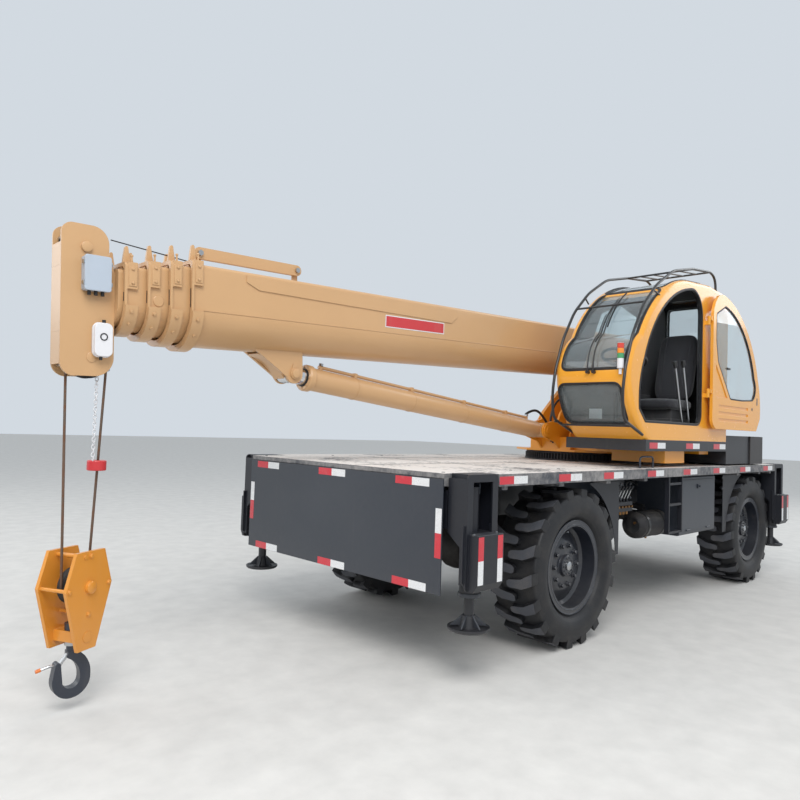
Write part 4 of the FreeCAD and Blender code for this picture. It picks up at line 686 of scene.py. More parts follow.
class Use(Enum):
    """Finishes of the machine."""

    CHASSIS = Paint("chassis paint", (40, 46, 56), 0.40, dust=0.15, streaks=0.03, low_dirt=0.06, wear=0.12,
                    worn=(96, 98, 102), gloss=0.2)
    DECK = Paint("deck paint", (44, 50, 60), 0.55, dust=2.4, streaks=0.0, wear=0.0, gloss=0.0,
                 dust_colour=(226, 219, 212))
    # Yellow paint outside; the shell's inner faces are dark as painted shade inside the cab.
    CAB = ShadeLinedPaint("cab paint", (238, 164, 48), 0.22, dust=0.05, streaks=0.02, wear=0.0, gloss=0.6)
    # Side panels, outrigger housings, beams, jacks, ladder and valve bank: the chassis' dark blue-grey made darker
    # still, as painted shade like that under the deck's overhang.
    SIDE = Paint("side paint", (20, 23, 32), 0.45, dust=0.05, streaks=0.02, low_dirt=0.04, wear=0.08,
                 worn=(84, 88, 96), gloss=0.1)
    # The boom's real yellow-orange paint, greyed and paled to tan as painted shade and haze.
    BOOM = Paint("boom paint", (200, 158, 112), 0.32, dust=0.12, streaks=0.03, wear=0.0, gloss=0.3)
    TURRET = Paint("turret paint", (236, 156, 36), 0.3, dust=0.15, streaks=0.04, wear=0.1, worn=(150, 110, 60),
                   gloss=0.3)
    BLOCK = Paint("hook block paint", (222, 146, 52), 0.3, dust=0.08, streaks=0.04, wear=0.2, worn=(236, 190, 110),
                  gloss=0.35)
    WEIGHT = Paint("counterweight paint", (42, 39, 40), 0.5, dust=0.15, streaks=0.06, wear=0.12, gloss=0.1)
    PLATFORM = Paint("platform paint", (34, 36, 42), 0.45, dust=0.2, streaks=0.05, wear=0.12, gloss=0.15)
    RIM = Paint("rim paint", (24, 29, 40), 0.34, dust=0.08, low_dirt=0.05, wear=0.1, worn=(84, 88, 96), gloss=0.4)
    RIM_EDGE = Paint("worn rim edge", (40, 46, 58), 0.3, dust=0.05, wear=0.3, worn=(110, 116, 124), gloss=0.4)
    TREAD = Rubber("worn tread tops", (74, 76, 82), 0.7, dust=0.25)
    LENS_RED = Paint("red lens", (206, 60, 44), 0.15, dust=0.05, wear=0.0, gloss=0.8)
    LENS_AMBER = Paint("amber lens", (236, 140, 40), 0.15, dust=0.05, wear=0.0, gloss=0.8)
    LENS_GREEN = Paint("green lens", (66, 150, 96), 0.15, dust=0.05, wear=0.0, gloss=0.8)
    CAST = Paint("cast iron", (38, 38, 42), 0.55, dust=0.25, low_dirt=0.15, wear=0.1, gloss=0.0, metal=0.4)
    BLACK = Paint("black enamel", (26, 27, 30), 0.35, dust=0.05, wear=0.05, worn=(90, 90, 92), gloss=0.3)
    HOOK = Paint("hook paint", (38, 44, 56), 0.4, dust=0.1, wear=0.45, worn=(130, 130, 132), gloss=0.25)
    BOX_GREY = Paint("instrument box", (176, 186, 198), 0.5, dust=0.1, wear=0.05, gloss=0.1)
    WHITE = Paint("white plastic", (225, 224, 226), 0.4, dust=0.1, wear=0.05, gloss=0.2)
    RED = Paint("red paint", (196, 44, 50), 0.35, dust=0.12, wear=0.1, gloss=0.3)
    ORANGE = Paint("orange paint", (226, 118, 36), 0.35, dust=0.2, wear=0.1, gloss=0.3)
    # Dark grey of the seat base and console, and of the wall and roof linings that are painted shade inside the cab.
    LINING = Paint("cab lining", (58, 58, 60), 0.7, dust=0.1, wear=0.0, gloss=0.0)
    TYRE = Rubber("tyre rubber", (21, 22, 26), 0.55, dust=0.10)
    SEAL = Rubber("rubber seal", (22, 22, 24), 0.5, dust=0.12)
    HOSE = Rubber("hose rubber", (24, 24, 26), 0.45, dust=0.15)
    CHROME = Metal("chromed rod", (215, 218, 222), 0.12)
    ROPE = Metal("steel rope", (120, 104, 92), 0.55, rust=0.75)
    STEEL = Metal("zinc plated steel", (182, 184, 186), 0.32)
    BRASS = Metal("brass", (150, 112, 72), 0.4)
    GLASS = Glass("window glass", (226, 236, 238), 0.0)
    TAPE_RED = Tape("red tape", (208, 40, 56), 0.3)
    TAPE_WHITE = Tape("white tape", (232, 232, 232), 0.3)
    CLOTH = Cloth("seat cloth", (34, 34, 38), 0.9)

    def material(self) -> bpy.types.Material:
        """The material of this finish."""
        return self.value.material()


def refinish(node: str, use: Use) -> None:
    """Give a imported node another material, and shade its curves smoothly."""
    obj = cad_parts[node]
    obj.data.materials.clear()
    obj.data.materials.append(use.material())
    weld = obj.modifiers.new("Weld", "WELD")
    weld.merge_threshold = 0.00002
    obj.data.polygons.foreach_set("use_smooth", np.ones(len(obj.data.polygons), bool))
    split = obj.modifiers.new("Edge split", "EDGE_SPLIT")
    split.split_angle = math.radians(26)
    split.use_edge_sharp = False


NODE_FINISH = {
    Use.CHASSIS: ("chassis_frame", "end_plates", "toolbox", "fuel_tank"),
    # Darker than the chassis, as painted shade.
    Use.SIDE: ("outrigger_housings", "side_panels", "ladder", "valve_bank"),
    Use.DECK: ("deck",),
    Use.CAST: ("air_tank", "leaf_springs", "front_axle", "rear_axle", "slew_ring", "engine_block", "knuckle_left",
               "knuckle_right", "winch", "head_sheaves", "block_sheave"),
    Use.TURRET: ("turret",),
    Use.PLATFORM: ("side_platforms", "tail_boxes", "hydraulic_tank"),
    Use.WEIGHT: ("counterweight",),
    Use.CAB: ("cab_shell", "cab_door"),
    Use.GLASS: ("cab_glass", "door_glass"),
    Use.CLOTH: ("cab_seat",),
    Use.BLACK: ("cab_controls", "guard_rails"),
    # Boom paint greyed to tan as painted shade and haze.
    Use.BOOM: ("boom_base", "boom_section_2", "boom_section_3", "boom_section_4", "boom_section_5", "top_arm",
               "lift_barrel"),
    Use.BOX_GREY: ("head_boxes",),
    Use.CHROME: ("lift_rod",),
    Use.ROPE: ("rope_falls",),
    Use.BLOCK: ("hook_block",),
    Use.HOOK: ("hook",),
}


def paint_nodes() -> None:
    """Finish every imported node."""
    for use, nodes in NODE_FINISH.items():
        for node in nodes:
            refinish(node, use)
    for end in ("front", "rear"):
        for side in ("left", "right"):
            refinish(f"tyre_{end}_{side}", Use.TYRE)
            refinish(f"rim_{end}_{side}", Use.RIM)
            # Beams and jacks take the side finish too, darkened as painted shade.
            refinish(f"outrigger_beam_{end}_{side}", Use.SIDE)
            refinish(f"jack_{end}_{side}", Use.SIDE)


def arc(a: Sequence[float], m: Sequence[float], b: Sequence[float], count: int = 14) -> np.ndarray:
    """Circle through three points, from the first to the last."""
    start, mid, end = (complex(*k) for k in (a, m, b))
    w = (end - start) / (mid - start)
    centre = (mid - start) * (w - abs(w) ** 2) / (2j * w.imag) + start
    sweep = np.angle((end - centre) / (start - centre))
    half = np.angle((mid - centre) / (start - centre))
    if sweep * half < 0:
        sweep += math.copysign(2 * math.pi, half)
    z = centre + (start - centre) * np.exp(1j * sweep * np.linspace(0, 1, count))
    return np.stack([z.real, z.imag], 1)


def chain_of(steps: Sequence) -> np.ndarray:
    """Outline from points (a, b) and arcs ((a, b) on the way, (a, b) at the end)."""
    rows = [np.array([steps[0]], float)]
    for step in steps[1:]:
        if isinstance(step[0], tuple):
            rows.append(arc(rows[-1][-1], step[0], step[1])[1:])
        else:
            rows.append(np.array([step], float))
    return np.concatenate(rows)


def strip(half: float, rise: float, sink: float = 0.004) -> list[tuple[float, float]]:
    """Section of a rubber strip: flat foot, rounded back."""
    return [(-half, -sink), (-half, rise * 0.4), (-half * 0.6, rise), (half * 0.6, rise), (half, rise * 0.4),
            (half, -sink)]


@dataclass(frozen=True)
class Tapes:
    """Marking tapes, each half red and half white.

    Args:
        length: of a whole tape.
        width: of a tape.
        thick: thickness.
    """

    length: float = 0.300
    width: float = 0.050
    thick: float = 0.0006

    def lay(self, name: str, body: str, starts: np.ndarray, along: Triple, down: Triple, out: Triple,
            length: float | None = None) -> None:
        """Lay one tape from each start: the red half first, then the white half."""
        half = np.array(along, float) * (length or self.length) / 2
        side, rise = np.array(down, float) * self.width, np.array(out, float) * self.thick
        for use, shift in ((Use.TAPE_RED, 0 * half), (Use.TAPE_WHITE, half)):
            one = brick(shift, half, side, rise)
            piece(f"{name}_{use.name.lower()}", repeat(one, starts), body, use)


@dataclass(frozen=True)
class Wheel:
    """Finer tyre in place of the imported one, and the fittings of its rim.

    Args:
        end: front or rear.
        side: side of the machine.
        radius: over the tread bars.
        lugs: tread bars, from the two shoulders in turn.
        lug_width: width of a bar's top at its inner end.
        nuts: number of wheel nuts.
    """

    end: str
    side: Side
    radius: float = 0.578
    lugs: int = 36
    lug_width: float = 0.062
    nuts: int = 10

    def centre(self) -> Triple:
        """Middle of the wheel."""
        return AXLE_X[self.end], self.side.value * TRACK_HALF, WHEEL_Z

    def place(self, patch: Patch) -> Patch:
        """Put a patch, drawn with its outer face towards +Y, on this wheel."""
        return patch.mapped(np.diag([1.0, float(self.side.value), 1.0]), self.centre())

    def carcass(self) -> Patch:
        """Tyre without its bars: half a section, from bead to crown, mirrored and turned about the axle."""
        rows = curve_through([(0.141, 0.318, 0), (0.143, 0.352, 0), (0.160, 0.366, 0), (0.184, 0.392, 0),
                              (0.197, 0.436, 0), (0.193, 0.484, 0), (0.184, 0.520, 0), (0.168, 0.538, 0),
                              (0.110, 0.5415, 0), (0.012, 0.542, 0)], 46)[:, :2]
        for radius, width, height in ((0.372, 0.0035, 0.004), (0.430, 0.0025, 0.0016)):
            rows[:, 0] += np.exp(-((rows[:, 1] - radius) / width) ** 2) * height
        section = np.concatenate([rows, rows[::-1] * np.array([-1.0, 1.0])])
        return turned(section, (0, 0, 0), "y", 120, loop=True)

    def bar(self, sign: int) -> Patch:
        """One tread bar from the shoulder on one side to past the middle.

        Rows run along the bar and columns across it. The bar's middle line leaves the shoulder at a slant
        and has a knee, after which it runs nearly along the axle. Its foot is wider than its top, it narrows
        past the knee, and its outer end runs down the shoulder.

        Args:
            sign: 1 for the outer shoulder, -1 for the inner one.

        Returns:
            The bar at the top of the wheel.
        """
        t = np.array([-0.085, -0.060, -0.035, -0.02, 0.2, 0.42, 0.62, 0.82, 0.92, 1.0])
        y = sign * (0.176 - t * 0.206)
        middle = np.interp(t, [-0.1, 0.0, 0.42, 1.0], [-0.038, -0.0265, 0.0150, 0.0245])
        top = np.interp(t, [-0.085, -0.060, -0.035, -0.02], [0.462, 0.500, 0.566, self.radius])
        foot = np.interp(t, [-0.085, 0.0, 1.0], [0.455, 0.528, 0.530])
        wide = np.interp(t, [-0.08, 0.30, 0.55, 0.90, 1.0], [1.30, 1.28, 1.0, 0.96, 0.50])
        w = self.lug_width / 2 * wide
        rows = []
        for share, high in ((-1.20, 0.0), (-1.0, 1.0), (0.0, 1.0), (1.0, 1.0), (1.20, 0.0)):
            r = foot + (top - foot) * high
            a = (middle + share * w) / self.radius
            rows.append(np.stack([r * np.sin(a), y, r * np.cos(a)], 1))
        return capped(np.stack(rows, 1))

    def tread(self) -> Patch:
        """Bars turned round the wheel, one for each share of the circle, from alternate shoulders."""
        angles = 2 * math.pi * (np.arange(self.lugs) + 0.5) / self.lugs
        return join(self.bar(1 if j % 2 else -1).mapped(spin(a), (0, 0, 0)) for j, a in enumerate(angles))

    def build(self) -> None:
        """Tyre with its bars, dished disc with hub and nuts, hub cap, valve stem and rim rings."""
        side = self.side.name.lower()
        body = f"wheel_{self.end}_{side}"
        tyre = piece(f"tyre_body_{self.end}_{side}", self.place(self.carcass()), body, Use.TYRE)
        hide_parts(f"tyre_{self.end}_{side}")
        bars = piece(f"tread_bars_{self.end}_{side}", self.place(self.tread()), body, Use.TYRE, flat=True)
        self.wear_tops(bars.data)
        disc = turned([(0.066, 0.004), (0.066, 0.172), (0.056, 0.188), (0.012, 0.2745), (0.026, 0.2760),
                       (0.040, 0.258), (0.068, 0.192), (0.074, 0.182), (0.076, 0.172), (0.076, 0.004)],
                      (0, 0, 0), "y", 72)
        hub = turned([(0.074, 0.084), (0.080, 0.080), (0.102, 0.077), (0.106, 0.071), (0.106, 0.004)],
                     (0, 0, 0), "y", 40)
        a = np.arange(self.nuts) * 2 * math.pi / self.nuts
        ring = np.stack([0.150 * np.cos(a), np.full(self.nuts, 0.076), 0.150 * np.sin(a)], 1)
        small = np.stack([0.058 * np.cos(a), np.full(self.nuts, 0.106), 0.058 * np.sin(a)], 1)
        nuts = [studs(ring, [(0, 1, 0)], 0.0155, 0.026), studs(small, [(0, 1, 0)], 0.0065, 0.008)]
        piece(f"wheel_disc_{self.end}_{side}", self.place(join([disc, hub] + nuts)), body, Use.RIM)
        cap = turned([(0.105, 0.034), (0.118, 0.032), (0.124, 0.022), (0.124, 0.004)], (0, 0, 0), "y", 30)
        stem = rod((0.0, 0.05, 0.238), (0.0, 0.100, 0.250), 0.006, 12)
        piece(f"hub_cap_{self.end}_{side}", self.place(join([cap, stem])), body, Use.STEEL)
        rings = [turned([(y, r), (y + 0.0016, r - 0.0025), (y + 0.0016, r - 0.0065), (y, r - 0.009)], (0, 0, 0),
                        "y", 96, loop=True) for y, r in ((0.1552, 0.3450), (0.1552, 0.3150))]
        piece(f"rim_lip_{self.end}_{side}", self.place(join(rings)), body, Use.RIM_EDGE)

    def wear_tops(self, mesh: bpy.types.Mesh) -> None:
        """Give the faces on the bars' tops the worn finish: those whose middles lie at the full radius."""
        mesh.materials.append(Use.TREAD.material())
        middles = np.empty(len(mesh.polygons) * 3)
        mesh.polygons.foreach_get("center", middles)
        out = middles.reshape(-1, 3) - np.array(self.centre())
        high = np.hypot(out[:, 0], out[:, 2]) > self.radius - 0.005
        mesh.polygons.foreach_set("material_index", high.astype(np.int32))


@dataclass(frozen=True)
class Leg:
    """Fittings of one outrigger leg and its jack.

    Args:
        end: front or rear.
        side: side of the machine.
        face: distance of the box's outer face from the middle of the machine.
        jack_y: distance of the jack's axis from the middle.
    """

    end: str
    side: Side
    face: float = 1.290
    jack_y: float = 1.134

    def build(self) -> None:
        """Tapes, jack's pin and ears, bolts, lid, ribs of the pad and the sleeve's ring."""
        cx, k = LEG_X[self.end], float(self.side.value)
        name = f"{self.end}_{self.side.name.lower()}"
        body, jack = f"outrigger_{name}", f"jack_{name}"

        def place(patch: Patch) -> Patch:
            return patch if k > 0 else patch.mirrored()

        starts = np.array([(cx - 0.066, k * self.face, 0.932), (cx + 0.118, k * self.face, 0.932)])
        Tapes(thick=0.0005).lay(f"leg_tape_{name}", body, starts, (0, 0, -1), (-1, 0, 0), (0, k, 0), 0.280)
        pin = join([rod((cx - 0.062, self.jack_y, 1.196), (cx + 0.062, self.jack_y, 1.196), 0.013),
                    rod((cx + 0.046, self.jack_y, 1.196), (cx + 0.050, self.jack_y, 1.196), 0.021, 20)])
        piece(f"jack_pin_{name}", place(pin), body, Use.STEEL)
        ears = [block((cx + s * 0.042, self.jack_y - 0.03, 1.170), (cx + s * 0.034, self.jack_y + 0.03, 1.235))
                for s in (-1, 1)]
        piece(f"jack_ears_{name}", place(join(ears)), body, Use.CHASSIS, bevel=0.002)
        heads = studs(grid((cx - 0.108, cx + 0.108), (1.244,), (0.937,)), [(0, 0, 1)], 0.009, 0.010)
        piece(f"leg_bolts_{name}", place(heads), body, Use.STEEL)
        lid = block((cx - 0.118, 1.212, 0.936), (cx + 0.118, 1.289, 0.941))
        piece(f"leg_box_lid_{name}", place(lid), body, Use.CHASSIS, bevel=0.002)
        ribs = [slab([(0.034, 0.372), (0.112, 0.372), (0.104, 0.382), (0.040, 0.438), (0.034, 0.438)], -0.004, 0.004)
                .mapped(spin(a, "z"), (cx, self.jack_y, 0))
                for a in np.arange(6) * math.pi / 3 + 0.3]
        piece(f"pad_ribs_{name}", place(join(ribs)), jack, Use.CHASSIS)
        collar = turned([(0.548, 0.070), (0.560, 0.072), (0.572, 0.070)], (cx, self.jack_y, 0), "z", 40)
        piece(f"sleeve_ring_{name}", place(collar), body, Use.CHASSIS)


@dataclass(frozen=True)
class Carrier:
    """Fittings of the carrier: tapes, deck seams, grab handle, valve bank, tank bands and locks.

    Args:
        tape_x: front ends of the tapes along the deck's edge.
        tank: Y and Z of the air tank's axis.
        handle_y: distance of the grab handle from the middle.
    """

    tape_x: tuple = (1.640, 0.966, 0.348, -0.374, -1.076, -1.765, -2.478, -3.190)
    tank: tuple = (0.960, 0.774)
    handle_y: float = 1.150

    def build(self) -> None:
        """Dress the deck, the ends and both sides."""
        self.tapes()
        self.deck()
        self.side_fittings()
        self.valves()
        self.underneath()

    def tapes(self) -> None:
        """Tapes along the deck's two edges and round the front plate."""
        tape = Tapes()
        for side in Side:
            k = side.value
            starts = np.array([(x, k * DECK_SIDE, 1.277) for x in self.tape_x])
            tape.lay(f"deck_tape_{side.name.lower()}", "carrier", starts, (-1, 0, 0), (0, 0, -1), (0, k, 0))
        top = [(FRONT_FACE, y, 1.254) for y in (-0.969, -0.162, 0.645)]
        low = [(FRONT_FACE, y, 0.612) for y in (-0.953, -0.136, 0.642)]
        tape.lay("front_tape", "carrier", np.array(top + low), (0, 1, 0), (0, 0, -1), (1, 0, 0))
        ends = np.array([(FRONT_FACE, y, 0.780) for y in (-1.055, 1.005)])
        tape.lay("front_end_tape", "carrier", ends, (0, 0, 1), (0, 1, 0), (1, 0, 0))

    def deck(self) -> None:
        """Seams between the deck's plates, its screws, the grab handle and the front plate's cap."""
        z = DECK_TOP
        seams = [block((x - 0.004, -1.05, z - 0.0005), (x + 0.004, 1.05, z + 0.0006)) for x in (0.95, -0.35, -2.55)]
        seams += [block((-3.89, y - 0.006, z - 0.0005), (1.96, y + 0.006, z + 0.0008)) for y in (-0.62, 0.21)]
        piece("deck_seams", join(seams), "carrier", Use.SEAL)
        bow = ((-0.372, -0.002), (-0.372, 0.072), (-0.400, 0.094), (-0.490, 0.097), (-0.580, 0.094), (-0.608, 0.072),
               (-0.608, -0.002))
        path = [(x, self.handle_y, z + up) for x, up in bow]
        piece("deck_handle", tube(curve_through(path, 60), 0.008, 14), "carrier", Use.CHASSIS)
        piece("front_plate_cap", block((1.96, -1.058, 1.2595), (1.979, 1.058, 1.2625)), "carrier", Use.CHASSIS)
        heads = grid((1.90, 1.20, 0.60, -0.30, -2.60, -3.20, -3.84), (-0.98, 0.98), (z,))
        piece("deck_screws", studs(heads, [(0, 0, 1)], 0.010, 0.003, 12), "carrier", Use.CHASSIS)

    def side_fittings(self) -> None:
        """Lock and hinges of the toolbox, bands and drain of the air tank, bolts of the side panels."""
        lock = [block((-1.60, 1.156, 1.085), (-1.54, 1.166, 1.125)),
                rod((-1.57, 1.16, 1.105), (-1.57, 1.178, 1.105), 0.010)]
        lock += [rod((x - 0.04, 1.159, 0.704), (x + 0.04, 1.159, 0.704), 0.008) for x in (-1.80, -1.34)]
        piece("toolbox_lock", join(lock), "carrier", Use.CHASSIS, bevel=0.0015)
        y, z = self.tank
        bands = [band(x, 0.018, 0.1155, 0.1185, (0, y, z), "x", 56) for x in (-0.740, -1.040)]
        bands.append(turned([(-0.6445, 0.068), (-0.640, 0.066), (-0.638, 0.020)], (0, y, z), "x"))
        piece("air_tank_bands", join(bands), "carrier", Use.BLACK)
        drain = join([rod((-0.892, y, 0.664), (-0.892, y, 0.642), 0.010, 12),
                      rod((-0.640, 0.985, 0.800), (-0.622, 0.985, 0.800), 0.012, 6)])
        piece("air_tank_fittings", drain, "carrier", Use.BRASS)
        heads = grid((-0.135, -0.30, -2.30), (1.105,), (1.165, 1.05))
        both = np.concatenate([heads, heads * np.array([1, -1, 1])])
        ways = np.repeat([(0, 1, 0), (0, -1, 0)], len(heads), axis=0)
        piece("panel_bolts", studs(both, ways, 0.009, 0.006), "carrier", Use.CHASSIS)

    def valves(self) -> None:
        """Unions on the outrigger valves with their pipes, guard hoops over the levers and bright lever rods."""
        xs = -0.155 - np.arange(5) * 0.055
        unions = [rod((x, 1.035, 0.932), (x, 1.035, 0.900), 0.011, 6) for x in xs]
        unions += [rod((x, 1.070, 0.970), (x, 1.088, 0.970), 0.010, 6) for x in xs]
        piece("valve_unions", join(unions), "carrier", Use.BRASS)
        rods_ = [rod((x, 1.0375, 1.030), (x, 1.0825, 1.128), 0.0066, 12) for x in xs]
        piece("lever_rods", join(rods_), "carrier", Use.STEEL)
        hoops = [tube(curve_through([(x, 1.00, 1.010), (x, 1.01, 1.150), (x, 1.06, 1.176), (x, 1.11, 1.150)], 30),
                      0.005, 10) for x in (-0.112, -0.418)]
        piece("lever_hoops", join(hoops), "carrier", Use.BLACK)

    def underneath(self) -> None:
        """Bows that hold the leaf springs to the axles."""
        bow = ((-0.030, 0.500), (-0.034, 0.66), (-0.030, 0.735), (0.0, 0.7465), (0.030, 0.735), (0.034, 0.66),
               (0.030, 0.500))
        paths = [curve_through([(x + dx, y + dy, z) for dy, z in bow], 40)
                 for x in AXLE_X.values() for y in (-0.375, 0.375) for dx in (-0.05, 0.05)]
        piece("spring_bows", join(tube(path, 0.007, 10, (1.0, 0.0, 0.0)) for path in paths), "carrier", Use.CAST)


class CabForm:
    """Side outline of the cab with its outward normals, for what follows its skin."""

    def __init__(self, outer: float = 1.225, inner: float = 0.540) -> None:
        """Work out the outline, front foot to rear foot, with its arcs as rows of points."""
        self.outer, self.inner = outer, inner
        self.line = chain_of([(-0.317, 1.535), ((-0.110, 1.735), (-0.012, 1.950)), ((-0.020, 2.190), (-0.204, 2.412)),
                              ((-0.560, 2.796), (-1.130, 3.012)), (-1.620, 3.052), (-1.880, 3.030),
                              ((-2.060, 2.960), (-2.099, 2.790)), (-2.099, 1.535)])
        way = np.gradient(self.line, axis=0)
        way /= np.linalg.norm(way, axis=1)[:, None]
        self.normal = np.stack([way[:, 1], -way[:, 0]], 1)

    def wrap(self, flat: np.ndarray, part: str, lift: float = 0.0) -> tuple[np.ndarray, np.ndarray]:
        """Lay rows of (Y, height) on the front or rear, or rows of (Y, X) on the roof."""
        top = int(np.argmax(self.line[:, 1]))
        rows = {"front": slice(0, top + 1), "rear": slice(top, None), "roof": slice(30, 70)}[part]
        key = 0 if part == "roof" else 1
        line, normal = self.line[rows], self.normal[rows]
        order = np.argsort(line[:, key])

        def read(column: np.ndarray) -> np.ndarray:
            return np.interp(flat[:, 1], line[order, key], column[order])

        other = read(line[:, 1 - key])
        x, z = (flat[:, 1], other) if key == 0 else (other, flat[:, 1])
        out = np.stack([read(normal[:, 0]), np.zeros(len(flat)), read(normal[:, 1])], 1)
        return np.stack([x, flat[:, 0], z], 1) + lift * out, out

    def seal(self, corners: tuple[float, float, float, float], radius: float, part: str, half: float,
             rise: float = 0.006) -> Patch:
        """Rubber strip round a rounded opening, given by its Y and height (or X) ranges."""
        flat = spread(round_box(*corners, radius), 150)
        points, normal = self.wrap(flat, part)
        return trim(points, normal, strip(half, rise))


@dataclass
class Cab:
    """Fittings of the cab: seals, wipers, lamps, dark linings that are painted shade inside, seat and brackets.

    Args:
        form: outline of the cab.
        body: the body that carries it.
        lamp: X and Y of the stack of signal lamps.
        seal_in: how far the doorway's seal lies inside the doorway's edge.
    """

    form: CabForm = field(default_factory=CabForm)
    body: str = "upper_works"
    lamp: tuple = (0.018, 1.160)
    seal_in: float = 0.004

    def build(self) -> None:
        """Dress the cab inside and out."""
        self.seals()
        self.wipers()
        self.lamps()
        self.linings_and_shade()
        self.seat()
        self.brackets()

    def door_line(self) -> np.ndarray:
        """Outline of the doorway in X and Z, drawn in by the seal's inset."""
        g = -self.seal_in
        return chain_of([(-0.295 + g, 1.683 - g), (-1.330 - g, 1.683 - g),
                         ((-1.405 - g * 0.9, 1.713 - g * 0.9), (-1.432 - g, 1.790)), (-1.432 - g, 2.700),
                         ((-1.370 - g * 0.8, 2.870 + g * 0.7), (-1.140, 2.930 + g)),
                         ((-0.620 + g * 0.7, 2.700 + g * 0.7), (-0.258 + g, 2.200)),
                         ((-0.190 + g, 2.000), (-0.185 + g, 1.800)), (-0.185 + g, 1.790)])

    def seals(self) -> None:
        """Rubber round every pane and the doorway."""
        f = self.form
        a, b = f.inner, f.outer
        panes = (((0.070, 0.040, 2.105, 2.860), 0.050, "front", 0.012),
                 ((0.035, 0.075, 1.655, 1.985), 0.060, "front", 0.011),
                 ((0.070, 0.050, -1.500, -0.690), 0.040, "roof", 0.010),
                 ((0.060, 0.100, 2.375, 2.925), 0.050, "rear", 0.010))
        strips = [f.seal((a + left, b - right, low, high), *rest) for (left, right, low, high), *rest in panes]
        inner = np.array([(-0.330, 2.060), (-1.500, 2.060), (-1.500, 2.780), (-1.130, 2.860), (-0.700, 2.700)])
        flat = spread(inner, 120)
        path = np.stack([flat[:, 0], np.full(120, a), flat[:, 1]], 1)
        strips.append(trim(path, (0, -1, 0), strip(0.014, 0.005)))
        piece("window_seals", join(strips), self.body, Use.SEAL)
        flat = spread(self.door_line(), 170)
        path = np.stack([flat[:, 0], np.full(170, b), flat[:, 1]], 1)
        piece("doorway_seal", trim(path, (0, 1, 0), strip(0.011, 0.0035, 0.020)), self.body, Use.SEAL)

    def wipers(self) -> None:
        """Two arms from one spindle plate below the windscreen, each with its blade."""
        parts, rubber = [], []
        for pivot, tip, blade in (((0.868, 2.078), (0.838, 2.600), 0.42), ((0.922, 2.078), (0.862, 2.770), 0.46)):
            flat = np.array([pivot, tip])
            flat = flat[0] + (flat[1] - flat[0]) * np.linspace(0, 1, 24)[:, None]
            line, normal = self.form.wrap(flat, "front", 0.022)
            parts.append(tube(line, np.linspace(0.0062, 0.0042, 24), 8))
            foot, out = self.form.wrap(np.array([pivot]), "front")
            parts.append(rod(tuple(foot[0] - 0.004 * out[0]), tuple(foot[0] + 0.034 * out[0]), 0.014, 20))
            z = np.linspace(tip[1] - blade * 0.62, min(tip[1] + blade * 0.38, 2.835), 26)
            y = np.interp(z, [pivot[1], tip[1]], [pivot[0], tip[0]]) + 0.012
            edge, _ = self.form.wrap(np.stack([y, z], 1), "front", 0.012)
            rubber.append(tube(edge, 0.0065, 8))
        piece("wiper_arms", join(parts), self.body, Use.BLACK)
        piece("wiper_blades", join(rubber), self.body, Use.SEAL)

    def lamps(self) -> None:
        """Signal lamps in a stack on a white body beside the front pillar."""
        x, y = self.lamp
        pole = join([turned([(2.098, 0.022), (2.102, 0.0265), (2.179, 0.0265), (2.179, 0.004)], (x, y, 0), "z", 32),
                     rod((x, y, 2.052), (x, y, 2.100), 0.012, 16),
                     turned([(2.3035, 0.026), (2.306, 0.024), (2.307, 0.004)], (x, y, 0), "z", 32)])
        piece("lamp_body", pole, self.body, Use.WHITE)
        for k, use in enumerate((Use.LENS_GREEN, Use.LENS_AMBER, Use.LENS_RED)):
            z = 2.180 + 0.041 * k
            lens = turned([(z, 0.0250), (z + 0.002, 0.0268), (z + 0.038, 0.0268), (z + 0.040, 0.0250)], (x, y, 0),
                          "z", 32)
            piece(f"lamp_{use.name.lower()}", lens, self.body, use)

    def linings_and_shade(self) -> None:
        """Floor mat, and dark linings on the inner faces as painted shade inside the cab."""
        a, b = self.form.inner + 0.045, self.form.outer - 0.045
        parts = [block((-2.045, a + 0.004, 1.580), (-0.300, b - 0.004, 1.586)),
                 block((-2.0535, a + 0.004, 1.586), (-2.046, b - 0.004, 2.340))]
        low = chain_of([(-0.345, 1.586), ((-0.170, 1.735), (-0.065, 1.950)), (-0.075, 2.040), (-2.046, 2.040),
                        (-2.046, 1.586)])
        parts.append(slab(low, a + 0.0005, a + 0.006))
        back = [(-1.520, 2.040), (-1.520, 3.000), (-1.880, 2.985), (-2.030, 2.900), (-2.046, 2.780), (-2.046, 2.040)]
        parts.append(slab(back, a + 0.0005, a + 0.006))
        over = np.array([(y, x) for x in np.linspace(-1.880, -1.525, 8) for y in (a + 0.01, b - 0.01)])
        points, normal = self.form.wrap(over, "roof", -0.0455)
        high, low = (k.reshape(8, 2, 3) for k in (points, points - 0.006 * normal))
        parts.append(capped(np.stack([high[:, 0], high[:, 1], low[:, 1], low[:, 0]], 1)))
        # Floor mat, and wall and roof panels whose dark grey is painted shade inside the cab.
        piece("cab_mat_and_shade_linings", join(parts), self.body, Use.LINING)
        console = [block((-1.55, a + 0.006, 1.586), (-0.95, a + 0.085, 1.980)),
                   block((-0.62, 0.80, 2.130), (-0.56, 0.96, 2.230))]
        piece("cab_console", join(console), self.body, Use.LINING, bevel=0.008)
        piece("blank_plate", block((-0.196, 0.770, 1.700), (-0.193, 0.890, 1.785)), self.body, Use.WHITE)

